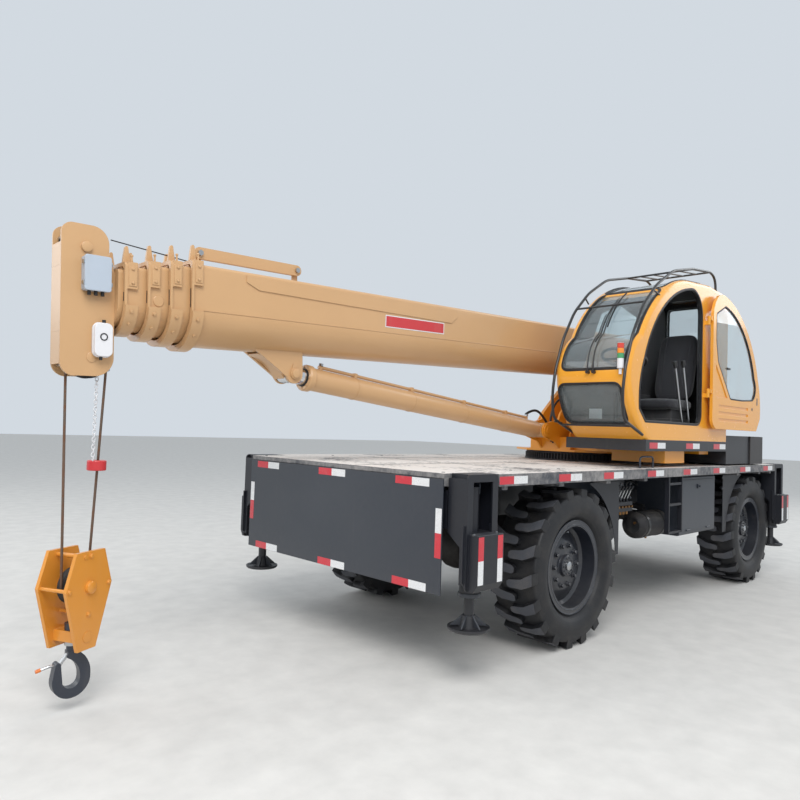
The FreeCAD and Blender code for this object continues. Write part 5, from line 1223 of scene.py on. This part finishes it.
    def seat(self) -> None:
        """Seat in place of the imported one: hard base, crowned cushion and back in cloth."""
        z, y = 1.580, (self.form.inner + self.form.outer) / 2
        base = piece("seat_base", join([block((-1.600, y - 0.17, z), (-1.180, y + 0.17, z + 0.16)),
                                        block((-1.560, y - 0.15, z + 0.16), (-1.220, y + 0.15, z + 0.245))]),
                     self.body, Use.LINING, bevel=0.006)
        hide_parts("cab_seat")
        cushion = self.pad("seat_cushion", (-1.375, y, z + 0.295), (0.245, 0.200, 0.055), 0.0)
        back = self.pad("seat_back", (-1.660, y, z + 0.680), (0.050, 0.190, 0.340), math.radians(-14.0))

    def pad(self, name: str, centre: Triple, half: Triple, lean: float) -> bpy.types.Object:
        """Crowned pad: a rounded box whose faces swell towards their middles, with two stitched grooves.

        With u and v round and over the pad, each coordinate is its half size times a signed power of the
        sphere's own coordinate; the low power makes the sides full, and grooves dip where the seams run.
        """
        u = np.linspace(0, 2 * math.pi, 72, endpoint=False)[:, None]
        v = np.linspace(-math.pi / 2 + 0.02, math.pi / 2 - 0.02, 40)[None, :]

        def power(k: np.ndarray, e: float) -> np.ndarray:
            return np.sign(k) * np.abs(k) ** e

        thin = int(np.argmin(half))
        wide = power(np.cos(v), 0.42)
        points = np.stack([wide * power(np.cos(u), 0.36), wide * power(np.sin(u), 0.36),
                           power(np.sin(v), 0.62) + 0 * u], -1)
        points = np.roll(points, thin + 1, axis=-1)
        groove = sum(np.exp(-((points[..., 1] - k) / 0.035) ** 2) for k in (-0.62, 0.62))
        points[..., thin] *= 1.0 - 0.16 * groove
        patch = capped((points * np.array(half)).transpose(1, 0, 2)).mapped(spin(lean), centre)
        obj = piece(name, patch, self.body, Use.CLOTH)
        mod = obj.modifiers.new("Soft", "SUBSURF")
        mod.levels = mod.render_levels = 1
        return obj

    def brackets(self) -> None:
        """Stays between the guard's tubes and the cab's front, and bright sleeves on the two long levers."""
        stays = [((-0.500, 0.560, 2.760), (-0.430, 0.560, 2.815)), ((-0.563, 1.205, 2.780), (-0.446, 1.205, 2.805)),
                 ((-0.120, 1.205, 1.640), (0.012, 1.205, 1.655)), ((-0.100, 0.560, 1.655), (0.012, 0.560, 1.664))]
        piece("guard_clamps", join([rod(a, b, 0.007, 12) for a, b in stays]), self.body, Use.BLACK)
        levers = [((-1.264, 1.125, 1.630), (-1.074, 1.125, 2.238)), ((-1.416, 1.125, 1.630), (-1.249, 1.125, 2.261))]
        sleeves = []
        for a, b in (np.array(k) for k in levers):
            sleeves.append(rod(tuple(a + 0.04 * (b - a)), tuple(a + 0.93 * (b - a)), 0.0100, 16))
        piece("lever_sleeves", join(sleeves), self.body, Use.STEEL)


@dataclass(frozen=True)
class Door:
    """Fittings of the cab's door, which stands folded right back.

    Args:
        hinge_x: the hinge's place along the machine; the folded door is the closed one turned about it.
        face: distance of its inner face, now outside, from the middle of the machine.
    """

    hinge_x: float = -1.490
    face: float = 1.294

    def folded(self, flat: np.ndarray) -> np.ndarray:
        """Rows of (X, Z) drawn on the closed door, on the folded door's inner face."""
        return np.stack([2 * self.hinge_x - flat[:, 0], np.full(len(flat), self.face), flat[:, 1]], 1)

    def build(self) -> None:
        """Window seal, latch, inner handle and the knob of the check strap."""
        window = spread(chain_of([(-0.700, 1.960), (-1.010, 1.960), (-1.330, 2.300), (-1.380, 2.500), (-1.380, 2.760),
                                  (-1.160, 2.860), ((-0.690, 2.680), (-0.340, 2.200)),
                                  ((-0.300, 2.080), (-0.420, 1.975)), (-0.700, 1.960)])[:-1], 150)
        piece("door_seal", trim(self.folded(window), (0, 1, 0), strip(0.007, 0.001, 0.018)), "door", Use.SEAL)
        latch = join([block((-2.742, 1.268, 1.930), (-2.712, 1.2945, 2.010)),
                      block((-1.962, 1.280, 2.247), (-1.888, 1.2955, 2.267)),
                      rod((-2.579, 1.280, 1.884), (-2.579, 1.2960, 1.884), 0.016, 20)])
        piece("door_latch", latch, "door", Use.BLACK, bevel=0.002)


@dataclass(frozen=True)
class Platform:
    """Tapes on the platform's side and fittings of the upper works' frame.

    Args:
        tape_x: front ends of the tapes.
        winch: X and Z of the winch's axis.
    """

    tape_x: tuple = (-0.383, -1.108, -1.745)
    winch: tuple = (-2.480, 1.840)

    def build(self) -> None:
        """Lay the tapes and dress the turret, the counterweight and the winch."""
        starts = np.array([(x, PLATFORM_SIDE, 1.512) for x in self.tape_x])
        Tapes().lay("platform_tape", "upper_works", starts, (-1, 0, 0), (0, 0, -1), (0, 1, 0))
        a = np.arange(36) * 2 * math.pi / 36
        ring = np.stack([SLEW_X + 0.470 * np.cos(a), 0.470 * np.sin(a), np.full(36, 1.4054)], 1)
        piece("turret_bolts", studs(ring, [(0, 0, 1)], 0.014, 0.018), "upper_works", Use.CAST)
        caps = []
        for k in (-1, 1):
            caps.append(turned([(0.0, 0.075), (k * 0.036, 0.075), (k * 0.040, 0.068)],
                               (BOOM_FOOT[0], k * 0.255, BOOM_FOOT[1]), "y", 40))
            caps.append(block((-2.540, k * 0.262, 2.424), (-2.386, k * 0.276, 2.466)))
        piece("foot_pin_keepers", join(caps), "upper_works", Use.TURRET, bevel=0.002)
        weld = [(-0.782, 1.4054), (-0.782, 1.560), (-0.951, 1.773), (-1.240, 2.017)]
        edge = np.array([(x, 0.231, z) for x, z in weld])
        piece("cheek_welds", tube(edge + np.array([0, 0.0005, 0]), 0.004, 8), "upper_works", Use.TURRET)
        eyes = [band(0.0, 0.012, 0.030, 0.018, (-2.98, y, 1.606), "y", 28) for y in (-0.8, 0.8)]
        piece("weight_eyes", join(eyes), "upper_works", Use.WEIGHT)
        x, z = self.winch
        turns = np.linspace(0, 20 * 2 * math.pi, 700)
        rope = np.stack([x + 0.142 * np.cos(turns), -0.148 + 0.296 * turns / turns[-1], z + 0.142 * np.sin(turns)], 1)
        piece("rope_on_winch", tube(rope, 0.0068, 8), "upper_works", Use.ROPE)
        piece("winch_motor", rod((x, 0.172, z), (x, 0.2145, z), 0.105, 40), "upper_works", Use.CAST)


@dataclass(frozen=True)
class Boom:
    """Fittings of the boom, its head and the lift cylinder.

    Args:
        front: s of the outer section's front face.
        pitch: from one section's front face to the next.
        half: half width of the outer section.
        step: how much smaller each section is on every side.
        height: height of the outer section.
    """

    front: float = 5.704
    pitch: float = 0.120
    half: float = 0.200
    step: float = 0.020
    height: float = 0.470

    def size(self, index: int) -> tuple[float, float, float]:
        """Front face, half width and half height of a section."""
        return self.front + index * self.pitch, self.half - index * self.step, self.height / 2 - index * self.step

    def build(self) -> None:
        """Dress every section, the head and the cylinder."""
        for index in range(4):
            self.mouth(index)
        self.outer()
        self.head()
        self.cylinder()

    def mouth(self, index: int) -> None:
        """Bolts under the flange, adjusting screws on the corner blocks, pad covers and wiper strips."""
        s1, half, top = self.size(index)
        body = f"boom_{index + 1}"
        a = np.radians([-165, -140, -40, -15])
        r = half + 0.030
        spring = half - top
        ways = np.stack([np.zeros(4), np.cos(a), np.sin(a)], 1)
        places = np.stack([np.full(4, s1 - 0.034), r * np.cos(a), spring + r * np.sin(a)], 1)
        parts = [studs(places, ways, 0.0095, 0.009)]
        for k in (-1, 1):
            y, b = k * (half + 0.004), top + 0.052
            parts.append(rod((s1 - 0.040, y, top + 0.012), (s1 - 0.040, y, b), 0.0055, 12))
            parts.append(turned([(b - 0.008, 0.003), (b - 0.005, 0.0068), (b, 0.0085), (b + 0.005, 0.0068),
                                 (b + 0.008, 0.001)], (s1 - 0.040, y, 0), "z", 16))
        piece(f"mouth_bolts_{index + 1}", on_boom(join(parts)), body, Use.BOOM)
        covers = []
        for k in (-1, 1):
            y = k * (half + 0.016)
            covers.append(block((s1 - 0.064, y, top - 0.116), (s1 - 0.020, y + k * 0.004, top - 0.006)))
        piece(f"pad_covers_{index + 1}", on_boom(join(covers)), body, Use.BOOM, bevel=0.0015)
        seats = grid((s1 - 0.042,), (half + 0.020,), (top - 0.022, top - 0.098))
        seats = np.concatenate([seats, seats * np.array([1, -1, 1])])
        ways = np.array([(0, 1, 0)] * 2 + [(0, -1, 0)] * 2, float)
        piece(f"cover_bolts_{index + 1}", on_boom(studs(seats, ways, 0.008, 0.006)), body, Use.BOOM)
        slots = [block((s1 - 0.0005, k * (half - 0.0045), spring + 0.012), (s1 + 0.001, k * (half + 0.004), top - 0.15))
                 for k in (-1, 1)]
        piece(f"wiper_strips_{index + 1}", on_boom(join(slots)), body, Use.SEAL)

    def outer(self) -> None:
        """Welds, sign, pin keepers and curved web at the cylinder's lug, and nuts on the top arm."""
        spring = self.half - self.height / 2
        beads = []
        s = np.linspace(0.36, 5.62, 400)
        for k in (-1, 1):
            wave = 0.0006 * np.sin(s * 190)
            beads.append(tube(np.stack([s, k * (self.half + wave), spring + 0 * s], 1), 0.0035, 6, (0.0, 0.0, 1.0)))
        piece("boom_welds", on_boom(join(beads)), "boom_1", Use.BOOM)
        frame_ = brick((1.073, 0.2005, 2.3035), (0.638, 0, -0.0), (0, 0, 0.0905), (0, 0.0008, 0))
        drop = math.tan(BOOM_ANGLE)
        lean = np.array([[1, 0, 0], [0, 1, 0], [-drop, 0, 1]])
        centre = np.array([1.392, 0, 2.349])
        plate = frame_.moved(*-centre).mapped(lean, centre)
        face = brick((1.080, 0.2013, 2.3105), (0.624, 0, 0), (0, 0, 0.0765), (0, 0.0004, 0))
        piece("sign_border", plate, "boom_1", Use.WHITE)
        piece("sign_face", face.moved(*-centre).mapped(lean, centre), "boom_1", Use.RED)
        bosses = []
        for k in (-1, 1):
            y = k * (0.05 + 0.048)
            bosses.append(turned([(0.0, 0.030), (k * 0.006, 0.030), (k * 0.008, 0.024)], (4.890, y, -0.364), "y", 32))
            bosses.append(slab([(4.86, -0.352), (4.875, -0.30), (4.905, -0.30), (4.92, -0.352)], k * 0.080, k * 0.086))
        piece("lug_pin_keepers", on_boom(join(bosses)), "boom_1", Use.BOOM)
        rib = curve_through([(4.955, 0, -0.392), (4.99, 0, -0.345), (5.06, 0, -0.285), (5.16, 0, -0.240)], 30)
        web = np.stack([rib + np.array([0, -0.060, 0]), rib + np.array([0, 0.060, 0]),
                        rib + np.array([0.006, 0.060, -0.007]), rib + np.array([0.006, -0.060, -0.007])], 1)
        piece("lug_curved_web", on_boom(capped(web)), "boom_1", Use.BOOM)
        posts = [rod((s_, 0.120, 0.318), (s_, 0.132, 0.318), 0.018, 6) for s_ in (4.905, 5.606)]
        piece("top_arm_nuts", on_boom(join(posts)), "boom_1", Use.STEEL)

    def head(self) -> None:
        """Pin caps, side pad's cover, front plates, spacers, boxes, and the anchor wire along the top."""
        body = "boom_5"
        caps = []
        for (s, n), k, y in ((TOP_SHEAVE, -1, -0.084), (TOP_SHEAVE, 1, 0.084), (HANG, -1, -0.084), (HANG, 1, 0.072)):
            caps.append(turned([(0.0, 0.028), (k * 0.003, 0.028), (k * 0.004, 0.026), (k * 0.004, 0.003)],
                               (s, y, n), "y", 36))
        piece("head_pin_caps", on_boom(join(caps)), body, Use.BOOM)
        cover = turned([(0.158, 0.032), (0.162, 0.032), (0.164, 0.029), (0.164, 0.003)], (5.877, 0, -0.005), "y", 36)
        piece("side_pad_cover", on_boom(cover), "boom_3", Use.BOOM)
        plates = [block((6.352, -0.060, 0.1412), (6.364, 0.060, 0.262)),
                  block((6.352, -0.060, -0.375), (6.364, 0.060, -0.2042))]
        piece("head_front_plates", on_boom(join(plates)), body, Use.BOOM)
        spots = ((6.330, 0.300), (6.330, -0.375), (6.120, 0.060), (6.110, -0.395))
        spacers = [rod((s, -0.058, n), (s, 0.058, n), 0.011) for s, n in spots]
        piece("head_spacers", on_boom(join(spacers)), body, Use.STEEL)
        self.boxes(body)
        wire = np.array([(6.105, 0.056, 0.315), (5.66, 0.100, 0.258)])
        piece("anchor_wire", on_boom(tube(wire, 0.0034, 8)), "boom_5", Use.BLACK)

    def boxes(self, body: str) -> None:
        """Lid, clips and glands of the upper box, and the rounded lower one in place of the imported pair."""
        y = 0.072
        outline = round_box(6.128, 6.262, 0.018, 0.200, 0.012)
        box = slab(outline, y, y + 0.042)
        lid = slab(round_box(6.125, 6.265, 0.015, 0.203, 0.014), y + 0.043, y + 0.060)
        first = piece("upper_box", on_boom(join([box, lid])), body, Use.BOX_GREY, bevel=0.002)
        low = slab(round_box(6.110, 6.205, -0.330, -0.150, 0.030), y, y + 0.050)
        rim = slab(round_box(6.106, 6.209, -0.334, -0.146, 0.032), y + 0.022, y + 0.028)
        piece("lower_box", on_boom(join([low, rim])), body, Use.WHITE, bevel=0.004)
        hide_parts("head_boxes")
        ring = turned([(y + 0.049, 0.021), (y + 0.053, 0.020), (y + 0.053, 0.015), (y + 0.049, 0.014)],
                      (6.158, 0, -0.225), "y", 28, loop=True)
        piece("lower_box_ring", on_boom(ring), body, Use.BLACK)
        clips = [block((s, y + 0.030, n - 0.010), (s + k * 0.006, y + 0.058, n + 0.010))
                 for s, k in ((6.265, 1), (6.125, -1)) for n in (0.055, 0.165)]
        piece("box_clips", on_boom(join(clips)), body, Use.STEEL, bevel=0.001)
        glands = [rod((s, y + 0.025, 0.018), (s, y + 0.025, -0.006), 0.010, 12) for s in (6.160, 6.195, 6.230)]
        glands += [rod((6.150, y + 0.025, -0.150), (6.150, y + 0.025, -0.132), 0.010, 12),
                   rod((6.165, y + 0.025, -0.330), (6.165, y + 0.025, -0.348), 0.009, 12)]
        piece("cable_glands", on_boom(join(glands)), body, Use.BLACK)

    def cylinder(self) -> None:
        """Gland bolts, pipe clamps and the scraper ring of the lift cylinder."""
        base, lug = np.array([-0.560, 0.0, 1.588]), on_boom(Patch(np.array([[4.890, 0.0, -0.364]]), [])).points[0]
        length = float(np.linalg.norm(lug - base))
        x = (lug - base) / length
        z = np.array([-x[2], 0, x[0]])
        columns = np.stack([x, np.array([0.0, 1.0, 0.0]), z], 1)

        def lay(patch: Patch) -> Patch:
            return patch.mapped(columns, base)

        mouth = length - 0.130
        ring = turned([(mouth - 0.052, 0.0875), (mouth - 0.046, 0.092), (mouth - 0.010, 0.092),
                       (mouth - 0.004, 0.0875)], (0, 0, 0), "x", 56)
        a = np.arange(8) * math.pi / 4
        heads = np.stack([np.full(8, mouth), 0.072 * np.cos(a), 0.072 * np.sin(a)], 1)
        piece("gland_ring", lay(join([ring, studs(heads, [(1, 0, 0)], 0.006, 0.006)])), "cylinder_barrel", Use.BOOM)
        scraper = turned([(mouth, 0.064), (mouth + 0.008, 0.062), (mouth + 0.010, 0.0565)], (0, 0, 0), "x", 40)
        piece("scraper_ring", lay(scraper), "cylinder_barrel", Use.SEAL)
        clamps = [block((t - 0.014, -0.019, 0.078), (t + 0.014, 0.019, 0.112)) for t in (0.55, 1.15, 1.80, 2.40)]
        straps = [turned([(t - 0.008, 0.0805), (t - 0.008, 0.0825), (t + 0.008, 0.0825), (t + 0.008, 0.0805)],
                         (0, 0, 0), "x", 48, loop=True) for t in (0.55, 1.15, 1.80, 2.40)]
        piece("pipe_clamps", lay(join(clamps + straps)), "cylinder_barrel", Use.BOOM, bevel=0.0015)
        union = [rod((t, 0, 0.108), (t, 0, 0.124), 0.017, 6) for t in (0.210, mouth - 0.140)]
        piece("pipe_unions", lay(join(union)), "cylinder_barrel", Use.STEEL)


@dataclass(frozen=True)
class Tackle:
    """Fittings of the hook block, the hook's latch and the limit weight on its chain.

    Args:
        x: the ropes' upright line.
        turn: turn of the block about it.
    """

    x: float = 3.722
    turn: float = math.radians(27.0)

    def turned_block(self, patch: Patch) -> Patch:
        """Turn a patch drawn square to the machine as the block hangs."""
        c, s = math.cos(self.turn), math.sin(self.turn)
        turn = np.array([[c, -s, 0], [s, c, 0], [0, 0, 1]])
        return patch.moved(-self.x).mapped(turn, (self.x, 0, 0))

    def build(self) -> None:
        """Bolts, cheek rims, hook collar, latch with its lever, weight and chain."""
        x, o = self.x, 0.102
        spots = [(x + 0.139, 0.662), (x - 0.139, 0.662), (x, 0.520), (x, 0.825)]
        heads = [studs(np.array([(a, k * o, z) for a, z in spots]), [(0, k, 0)], 0.012, 0.009) for k in (-1, 1)]
        hubs = [turned([(k * o, 0.034), (k * (o + 0.017), 0.032), (k * (o + 0.020), 0.027)], (x, 0, 0.662), "y", 36)
                for k in (-1, 1)]
        hubs += [turned([(k * o, 0.030), (k * (o + 0.003), 0.030)], (x, 0, 0.401), "y", 30) for k in (-1, 1)]
        piece("block_bolts", self.turned_block(join(heads + hubs)), "block", Use.BLOCK)
        nut = turned([(0.350, 0.034), (0.371, 0.036), (0.3715, 0.030)], (x, 0, 0), "z", 36)
        piece("hook_collar", nut, "hook", Use.STEEL)
        z = 0.171
        latch = slab([(x + 0.002, z + 0.140), (x + 0.014, z + 0.146), (x + 0.070, z + 0.074), (x + 0.060, z + 0.066)],
                     -0.012, 0.012)
        piece("hook_latch", latch, "hook", Use.STEEL, bevel=0.001)
        lever = tube(curve_through([(x + 0.058, 0.0, z + 0.078), (x + 0.100, -0.004, z + 0.082),
                                    (x + 0.145, -0.008, z + 0.072)], 20), 0.007, 10)
        piece("hook_lever", lever, "hook", Use.STEEL)
        piece("hook_lever_tip", rod((x + 0.143, -0.008, z + 0.0725), (x + 0.168, -0.010, z + 0.066), 0.0095), "hook",
              Use.ORANGE)
        self.limit_weight()

    def limit_weight(self) -> None:
        """Red weight round the rear fall, hung from the head on white chain."""
        x = 3.640
        ring = turned([(1.270, 0.046), (1.274, 0.050), (1.322, 0.050), (1.326, 0.046), (1.326, 0.016), (1.270, 0.016)],
                      (x, 0, 0), "z", 40, loop=True)
        piece("limit_weight", ring, "ropes", Use.RED, bevel=0.002)
        links = []
        t = np.linspace(0, 2 * math.pi, 18, endpoint=False)
        oval = np.stack([0.0085 * np.cos(t), np.zeros(18), 0.0135 * np.sin(t)], 1)
        other = oval[:, [1, 0, 2]]
        eye_y = 0.030
        for k in range(34):
            z = 1.336 + k * 0.0205
            path = (oval if k % 2 else other) + np.array([x + 0.034, eye_y, z])
            normal = (0.0, 1.0, 0.0) if k % 2 else (1.0, 0.0, 0.0)
            s = np.linspace(0, 2 * math.pi, 6, endpoint=False)
            links.append(trim(path, normal, np.stack([0.0026 * np.cos(s), 0.0026 * np.sin(s)], 1).tolist()))
        piece("limit_chain", join(links), "ropes", Use.WHITE)


@dataclass(frozen=True)
class Hose:
    """Free hose or cable along a smooth spline.

    Args:
        name: the piece's name.
        points: control points of its route.
        diameter: outer diameter.
        body: the body that it rides on.
        far_end: what it ends in; not used.
        stiffness: limp, medium or stiff; not used.
    """

    name: str
    points: tuple
    diameter: float
    body: str
    far_end: str = "object"
    stiffness: str = "medium"

    def length(self) -> float:
        """Length of the spline, from its quadratic pieces between the middles of the runs."""
        p = np.array(self.points, float)
        mids = np.concatenate([p[:1], (p[1:-2] + p[2:-1]) / 2, p[-1:]])
        t = np.linspace(0, 1, 20)[:, None]
        total = 0.0
        for a, b, c in zip(mids[:-1], p[1:-1], mids[1:]):
            row = (1 - t) ** 2 * a + 2 * t * (1 - t) * b + t ** 2 * c
            total += float(np.linalg.norm(np.diff(row, axis=0), axis=1).sum())
        return total

    def build(self) -> None:
        curve = bpy.data.curves.new(self.name, "CURVE")
        curve.dimensions, curve.bevel_depth, curve.bevel_resolution = "3D", self.diameter / 2, 4
        curve.use_fill_caps = True
        curve.resolution_u = 16
        line = curve.splines.new("NURBS")
        line.points.add(len(self.points) - 1)
        line.points.foreach_set("co", np.array([(*p, 1.0) for p in self.points]).ravel())
        line.order_u = 3
        line.use_endpoint_u = True
        curve.materials.append(Use.HOSE.material())
        obj = bpy.data.objects.new(self.name, curve)
        bpy.context.scene.collection.objects.link(obj)
        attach(obj, self.body)
        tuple(self.points[0])
        round(self.length(), 3)


HOSES = (
    Hose("cylinder_hose_a", ((-0.745, 0.060, 1.470), (-0.700, 0.062, 1.560), (-0.600, 0.062, 1.690),
                             (-0.480, 0.050, 1.780), (-0.400, 0.020, 1.770), (-0.352, 0.0, 1.735)), 0.024,
         "upper_works"),
    Hose("cylinder_hose_b", ((-0.760, 0.030, 1.480), (-0.730, 0.030, 1.600), (-0.740, 0.030, 1.760),
                             (-0.830, 0.028, 1.880), (-0.960, 0.026, 1.930), (-1.098, 0.024, 1.930)), 0.022,
         "upper_works"),
)


@dataclass(frozen=True)
class Studio:
    """Floor, lights and camera.

    Args:
        eye: camera's place.
        yaw: heading of the view in degrees from +X.
        pitch: degrees above the level.
        roll: degrees of lean.
        lens: focal length in millimetres on a 36 mm frame.
    """

    eye: Triple = (5.081, 3.820, 1.554)
    yaw: float = 225.59
    pitch: float = 2.42
    roll: float = 1.98
    lens: float = 30.68
    lamps: tuple = field(default=(
        ("key", (7.0, 6.5, 9.5), (-1.0, 0.0, 1.2), 7.0, 950.0),
        ("fill", (9.0, -8.0, 6.0), (0.0, 0.0, 1.2), 9.0, 330.0),
        ("back", (-12.0, 4.0, 8.0), (-1.0, 0.0, 1.5), 8.0, 360.0)))

    def build(self) -> None:
        """Make the floor, the lamps, the pale surroundings and the camera."""
        self.floor()
        self.light()
        self.camera()

    def floor(self) -> None:
        """Plain pale floor."""
        mesh = bpy.data.meshes.new("floor")
        mesh.from_pydata([(-60, -60, 0), (60, -60, 0), (60, 60, 0), (-60, 60, 0)], [], [(0, 1, 2, 3)])
        obj = bpy.data.objects.new("floor", mesh)
        bpy.context.scene.collection.objects.link(obj)
        mesh.materials.append(Finish("pale floor", (212, 209, 204), 0.8).material())

    def light(self) -> None:
        """Three soft lamps and a pale even sky."""
        for name, place, aim, size, power in self.lamps:
            data = bpy.data.lights.new(name, "AREA")
            data.energy, data.size, data.shape = power, size, "DISK"
            lamp = bpy.data.objects.new(name, data)
            lamp.location = place
            lamp.rotation_euler = (Vector(aim) - Vector(place)).to_track_quat("-Z", "Y").to_euler()
            bpy.context.scene.collection.objects.link(lamp)
        world = bpy.context.scene.world or bpy.data.worlds.new("sky")
        bpy.context.scene.world = world
        world.use_nodes = True
        g = Graph(world.node_tree)
        back = g.add("Background", None, Color=rgb(226, 234, 242), Strength=0.85)
        g.add("OutputWorld", None, Surface=back.outputs[0])

    def camera(self) -> None:
        """Camera turned by yaw, pitch and roll: its right hand leans towards up by the roll."""
        yaw, pitch, roll = (math.radians(k) for k in (self.yaw, self.pitch, self.roll))
        ahead = Vector((math.cos(yaw) * math.cos(pitch), math.sin(yaw) * math.cos(pitch), math.sin(pitch)))
        right = ahead.cross(Vector((0, 0, 1))).normalized()
        up = right.cross(ahead)
        leaning = right * math.cos(roll) + up * math.sin(roll)
        upright = up * math.cos(roll) - right * math.sin(roll)
        data = bpy.data.cameras.new("view")
        data.lens, data.sensor_width = self.lens, 36.0
        cam = bpy.data.objects.new("view", data)
        cam.matrix_world = Matrix((leaning, upright, -ahead)).transposed().to_4x4()
        cam.location = self.eye
        bpy.context.scene.collection.objects.link(cam)
        bpy.context.scene.camera = cam


def main() -> None:
    """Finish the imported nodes, build every sub-assembly and set the studio."""
    logging.basicConfig(level=logging.INFO, format="%(message)s")
    bpy.context.scene.view_settings.view_transform = "Standard"
    Studio().build()
    for hose in HOSES:
        hose.build()
    paint_nodes()
    for end in ("front", "rear"):
        for side in Side:
            Wheel(end, side).build()
            Leg(end, side).build()
    for assembly in (Carrier(), Platform(), Cab(), Door(), Boom(), Tackle()):
        assembly.build()
    bpy.context.view_layer.update()


if __name__ == "__main__":
    main()
